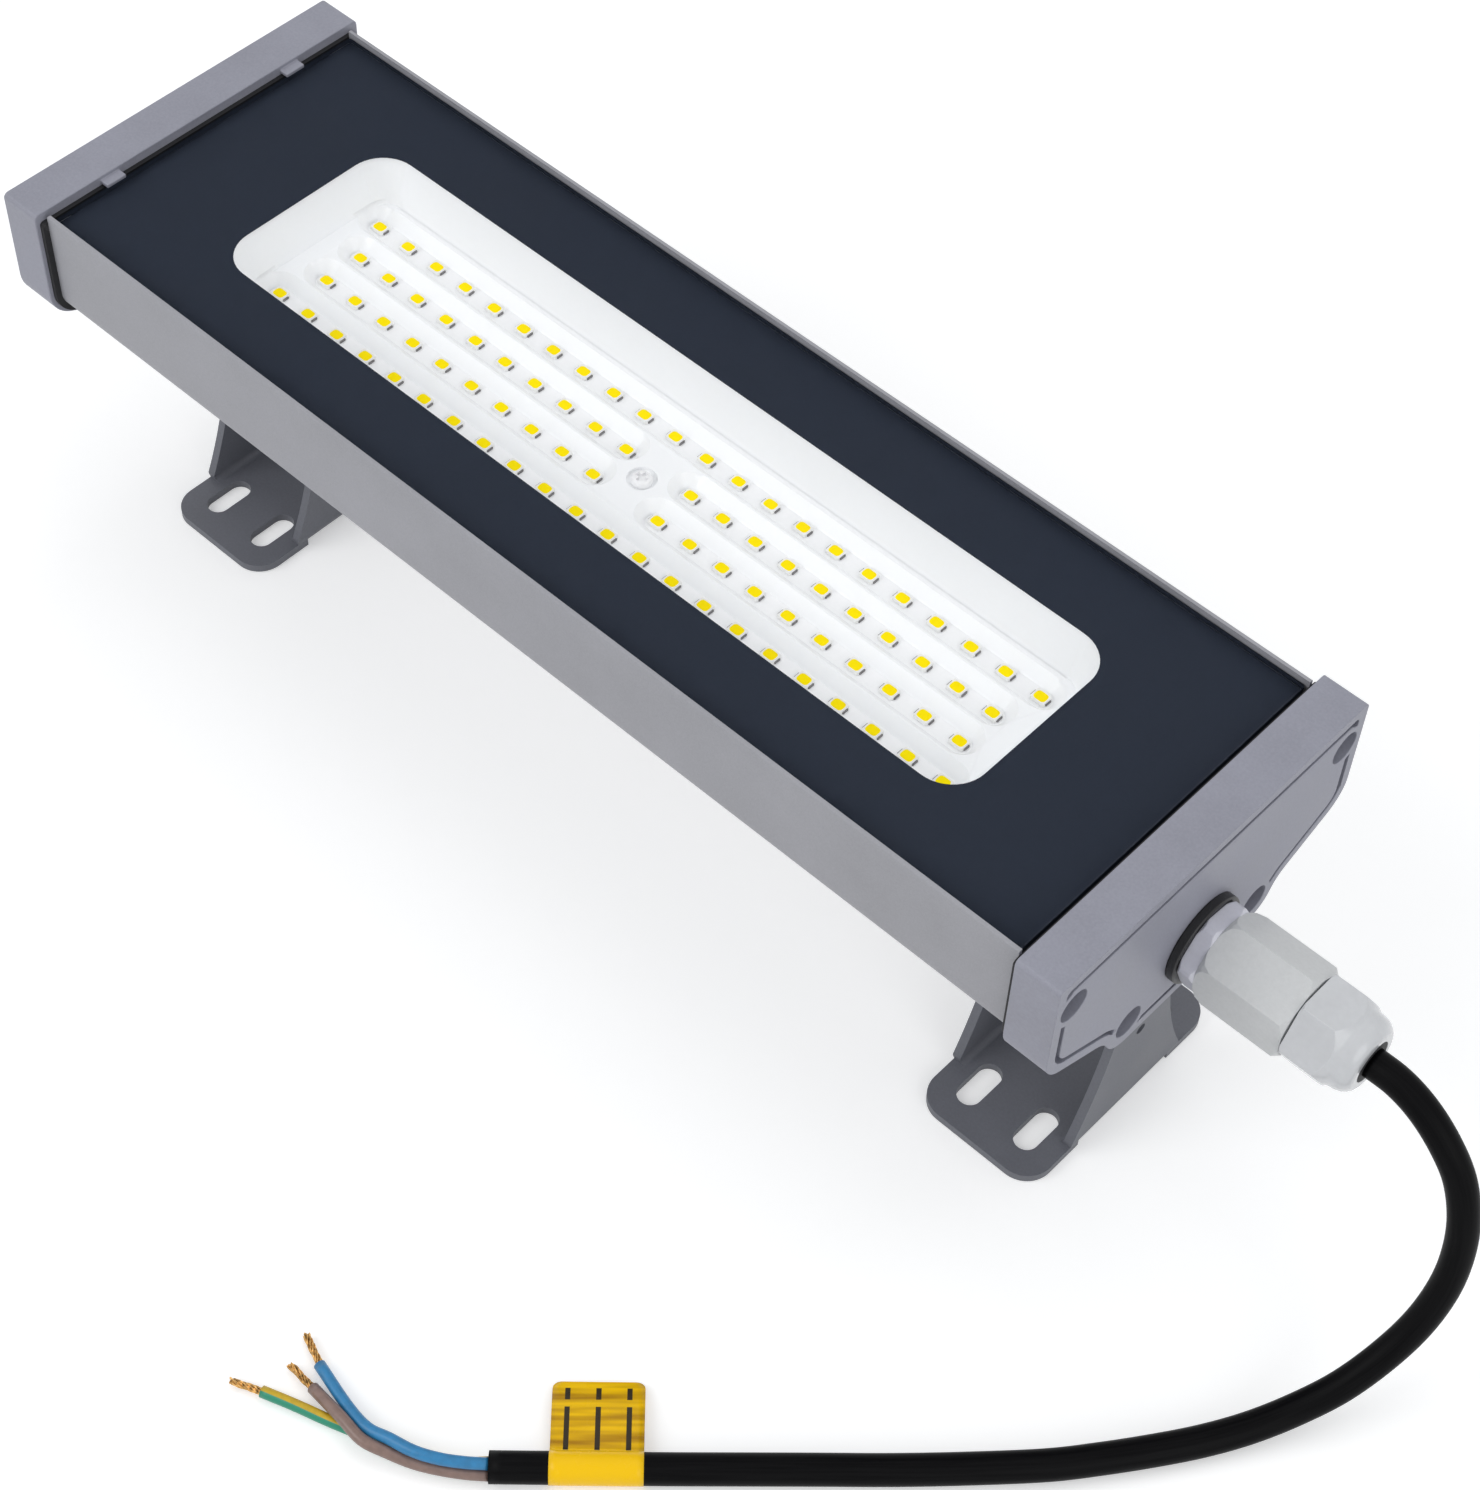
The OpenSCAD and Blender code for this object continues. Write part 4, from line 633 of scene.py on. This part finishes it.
def bodyProfile():
    right = bodySide()
    lipInside = -body["half"] + body["lip"]
    channel = [(lipInside, -body["top"]), (lipInside, -body["ledge"]),
               (-body["ledgeHalf"], -body["ledge"]), (-body["ledgeHalf"], -body["floor"])]
    outline = right + [(-y, z) for y, z in reversed(right)] + channel + [(-y, z) for y, z in reversed(channel)]
    bm = bmesh.new()
    end = -body["length"] / 2 * mm
    bm.faces.new([bm.verts.new((end, y * mm, (body["height"] + z) * mm)) for y, z in outline])
    outwards(bm).faces.ensure_lookup_table()
    if bm.faces[0].normal.x < 0:
        bmesh.ops.reverse_faces(bm, faces=bm.faces)
    return toMesh(bm, "bodyProfile")


def extrusionTree():
    tree, ids, given = newTree("extrudedBody", {"Length": "Float"})
    pushed = addNode(tree, "GeometryNodeExtrudeMesh", {
        "Mesh": given["Geometry"], "Offset": combine(tree, given["Length"]), "Offset Scale": 1.0, "Individual": False})
    back = addNode(tree, "GeometryNodeFlipFaces", {0: given["Geometry"]})
    both = tree.nodes.new("GeometryNodeJoinGeometry")
    tree.links.new(pushed.outputs[0], both.inputs[0])
    tree.links.new(back.outputs[0], both.inputs[0])
    merged = addNode(tree, "GeometryNodeMergeByDistance", {0: both.outputs[0], "Distance": weld})
    closeTree(tree, merged.outputs[0], "body_paint")
    return tree, ids


bodyPiece = runTree("bodyPiece", bodyProfile(), *extrusionTree(), {"Length": body["length"] * mm}, "body_paint",
                    body["crisp"])
settle(bodyPiece, "body_paint", "body_extrusion")
print("body made")

# LEDs: one package, its phosphor and its terminals, each repeated along the rows
leds = {"pitch": 8.8, "outerCount": 22, "innerCount": 10, "gap": 18.1, "outerRow": 14.3, "innerRow": 4.8,
        "shift": -1.0, "height": 78.2, "crisp": 40}
package = {  # rings of the moulding and of the phosphor in it: length, width, corner, height
    "moulding": [(3.2, 2.6, 0.2, 0.02), (3.5, 2.8, 0.25, 0.12), (3.46, 2.76, 0.25, 0.78), (3.36, 2.66, 0.25, 0.86),
                 (2.86, 2.34, 0.75, 0.86), (2.5, 2.04, 0.6, 0.66)],
    "gel": [(2.5, 2.04, 0.6, 0.665), (2.8, 2.26, 0.75, 0.78), (2.5, 2.0, 0.7, 0.85), (1.4, 1.1, 0.4, 0.88)],
    "terminal": (0.3, 1.5, 0.5), "terminalOut": 1.85, "terminalUp": 0.26, "terminalEdge": 0.04,
}


def ringMesh(name, rings, steps=3):  # a closed stack of rounded rectangles
    bm = bmesh.new()
    loops = []
    for length, width, corner, z in rings:
        points = []
        for sx, sy, a in ((1, 1, 0), (-1, 1, 90), (-1, -1, 180), (1, -1, 270)):
            points += arc(sx * (length / 2 - corner), sy * (width / 2 - corner), corner, a, a + 90, steps)
        loops.append([bm.verts.new((x * mm, y * mm, z * mm)) for x, y in points])
    for a, b in zip(loops, loops[1:]):
        for k in range(len(a)):
            n = (k + 1) % len(a)
            bm.faces.new((a[k], a[n], b[n], b[k]))
    bm.faces.new(loops[0])
    bm.faces.new(loops[-1])
    return toMesh(outwards(bm), name)


def terminalMesh():  # one at each end of the package
    bm = bmesh.new()
    for sx in (-1, 1):
        block = bmesh.ops.create_cube(bm, size=1.0)["verts"]
        bmesh.ops.scale(bm, vec=[v * mm for v in package["terminal"]], verts=block)
        away = (sx * package["terminalOut"] * mm, 0, package["terminalUp"] * mm)
        bmesh.ops.translate(bm, vec=away, verts=block)
    bmesh.ops.bevel(bm, geom=bm.edges[:], offset=package["terminalEdge"] * mm, segments=1, affect="EDGES")
    return toMesh(bm, "terminals")


def ledTree(name, slot):
    kinds = {"Pitch": "Float", "Outer count": "Int", "Inner count": "Int", "Centre gap": "Float",
             "Outer row": "Float", "Inner row": "Float", "Shift": "Float", "Height": "Float"}
    tree, ids, given = newTree(name, kinds)
    rows = tree.nodes.new("GeometryNodeJoinGeometry")
    half = times(tree, calc(tree, "SUBTRACT", given["Outer count"], 1.0), times(tree, given["Pitch"], 0.5))
    first = calc(tree, "SUBTRACT", given["Shift"], half)
    for side in (-1.0, 1.0):
        start = combine(tree, first, times(tree, given["Outer row"], side), given["Height"])
        row = meshLine(tree, given["Outer count"], start, combine(tree, given["Pitch"]))
        tree.links.new(row, rows.inputs[0])
        for end in (-0.5, 0.5):
            near = calc(tree, "ADD", given["Shift"], times(tree, given["Centre gap"], end))
            start = combine(tree, near, times(tree, given["Inner row"], side), given["Height"])
            row = meshLine(tree, given["Inner count"], start, combine(tree, times(tree, given["Pitch"], 2 * end)))
            tree.links.new(row, rows.inputs[0])
    placed = addNode(tree, "GeometryNodeInstanceOnPoints", {"Points": rows.outputs[0], "Instance": given["Geometry"]})
    closeTree(tree, placed.outputs[0], slot)
    return tree, ids


def ledPiece(name, mesh, slot):
    values = {"Pitch": leds["pitch"] * mm, "Outer count": leds["outerCount"], "Inner count": leds["innerCount"],
              "Centre gap": leds["gap"] * mm, "Outer row": leds["outerRow"] * mm, "Inner row": leds["innerRow"] * mm,
              "Shift": leds["shift"] * mm, "Height": leds["height"] * mm}
    return runTree(name, mesh, *ledTree(name + "Rows", slot), values, slot, leds["crisp"])


moulding = ringMesh("package", package["moulding"])
gel = ringMesh("gel", package["gel"])
terminals = terminalMesh()
settle(ledPiece("ledMouldings", moulding, "led_white"), "led_white", "led_packages")
settle(ledPiece("ledGels", gel, "phosphor"), "phosphor", "led_phosphors")
settle(ledPiece("ledTerminals", terminals, "terminal"), "led_white")
print("LEDs made")

# CAD shapes with eased edges, and how wide each edge is eased
eased = {
    "end_cap_far": 0.0006, "end_cap_gland": 0.0006, "bracket_far": 0.00035, "bracket_gland": 0.00035,
    "hanger_far": 0.0004, "hanger_gland": 0.0004, "gland_adapter": 0.0004, "gland_body": 0.0003, "gland_nut": 0.00015,
    "gland_washer": 0.0003, "pivot_bolts": 0.0002, "pivot_nuts": 0.0003,
    "cap_screws_far": 0.0001, "cap_screws_gland": 0.0001, "reflector_screw": 0.0001,
}
easing = {"angle": 38, "crisp": 14}
turnedEasing = {"angle": 30, "crisp": 26}  # for turned shapes, which are shaded smooth over wider angles
turned = ("gland_nut", "gland_body", "gland_adapter")
crispAngle = {"reflector": 12}  # its slopes stay flat; the other shapes take the plain angle
plainCrisp = 32

softPieces = {node: softCopy(node, width, **(turnedEasing if node in turned else easing))
              for node, width in eased.items()}
done = list(eased) + ["body_extrusion", "led_packages", "led_phosphors", "cover_glass", "cable_jacket", "cable_label"]
done += [node for node in nodes if node.startswith(("core_", "strands_"))]
for node in nodes:
    if node not in done:
        softPieces[node] = smoothCopy(node, crispAngle.get(node, plainCrisp))
print("edges eased on", len(eased), "pieces")

# the cover glass, a hair clear of the print under it so that the two faces don't fight; its edges are printed too, as
# painted shade
glass = {"length": 262.4, "width": 82.8, "bottom": 91.13, "top": 94.1, "edge": 0.25, "corners": (0.3, 0.5),
         "sideRise": 0.3}  # a face whose normal rises less than this is a side
inner = (glass["length"] - 2 * glass["edge"], glass["width"] - 2 * glass["edge"], glass["corners"][0])
outer = (glass["length"], glass["width"], glass["corners"][1])
pane = ringMesh("coverGlass", [(*inner, glass["bottom"]), (*outer, glass["bottom"] + glass["edge"]),
                               (*outer, glass["top"] - glass["edge"]), (*inner, glass["top"])])
settle(link("coverGlass", pane, "clear_glass"), "clear_glass", "cover_glass")
# the pane's sides take the dark print: partly print, partly painted shade of the gap along the pane's edges
pane.materials.append(finishes["dark_print"])
for face in pane.polygons:
    face.material_index = 1 if abs(face.normal.z) < glass["sideRise"] else 0
print("cover glass made")

# the cable jacket and cores take their CAD parts' places once all that goes with them is made
settle(jacket, "cable_black", "cable_jacket")
for node, (piece, line) in corePieces.items():
    settle(piece, node, node)

# floor, lamps and surroundings
studio = {
    "floor": 0.86, "floorRough": 0.9, "floorSpecular": 0.1, "floorGlow": 0.36, "floorHalf": 6, "floorBelow": 0.0002,
    "sky": 0.52, "skyTint": (0.96, 0.98, 1.0),
    "aim": (0, 0, 0.05),
    "lamps": [  # name, place, size, power, seen in glossy surfaces
        ("key", (-0.55, -1.05, 1.05), 1.0, 7.0, True), ("fill", (1.25, -0.35, 0.65), 0.9, 3.6, True),
        ("top", (0.1, 0.5, 1.35), 1.2, 4.0, False)],
}


def seenDirectly(tree):  # camera, glossy and transmission rays
    path = tree.nodes.new("ShaderNodeLightPath")
    first = calc(tree, "MAXIMUM", path.outputs["Is Camera Ray"], path.outputs["Is Glossy Ray"])
    return calc(tree, "MAXIMUM", first, path.outputs["Is Transmission Ray"])


floorMaterial, floorTree, floorShader = newMaterial("floorPaper")
floorShader.inputs["Base Color"].default_value = (studio["floor"],) * 3 + (1,)
floorShader.inputs["Roughness"].default_value = studio["floorRough"]
floorShader.inputs["Specular IOR Level"].default_value = studio["floorSpecular"]
floorShader.inputs["Emission Color"].default_value = (1, 1, 1, 1)
floorGlow = times(floorTree, seenDirectly(floorTree), studio["floorGlow"])
floorTree.links.new(floorGlow, floorShader.inputs["Emission Strength"])
floorMesh = bpy.data.meshes.new("floor")
floorCorners = [(sx * studio["floorHalf"], sy * studio["floorHalf"], -studio["floorBelow"])
                for sx, sy in ((-1, -1), (1, -1), (1, 1), (-1, 1))]
floorMesh.from_pydata(floorCorners, [], [(0, 1, 2, 3)])
floorMesh.materials.append(floorMaterial)
floorPlane = bpy.data.objects.new("floor", floorMesh)
bpy.context.collection.objects.link(floorPlane)

for name, position, size, power, glossy in studio["lamps"]:
    lamp = bpy.data.lights.new(name, "AREA")
    lamp.shape, lamp.size, lamp.energy = "SQUARE", size, power
    lampObject = bpy.data.objects.new(name, lamp)
    lampObject.visible_glossy = glossy
    bpy.context.collection.objects.link(lampObject)
    away = Vector(position) - Vector(studio["aim"])
    lampObject.matrix_world = Matrix.Translation(position) @ away.to_track_quat("Z", "Y").to_matrix().to_4x4()

world = bpy.data.worlds.new("studio")
bpy.context.scene.world = world
world.use_nodes = True
skyTree = world.node_tree
skyTree.nodes.clear()
seen = addNode(skyTree, "ShaderNodeBackground", {"Color": (1, 1, 1, 1), "Strength": 1.0})
light = addNode(skyTree, "ShaderNodeBackground", {"Color": (*studio["skyTint"], 1), "Strength": studio["sky"]})
sky = addNode(skyTree, "ShaderNodeMixShader", {0: seenDirectly(skyTree), 1: light.outputs[0], 2: seen.outputs[0]})
skyTree.links.new(sky.outputs[0], skyTree.nodes.new("ShaderNodeOutputWorld").inputs["Surface"])
print("studio ready")
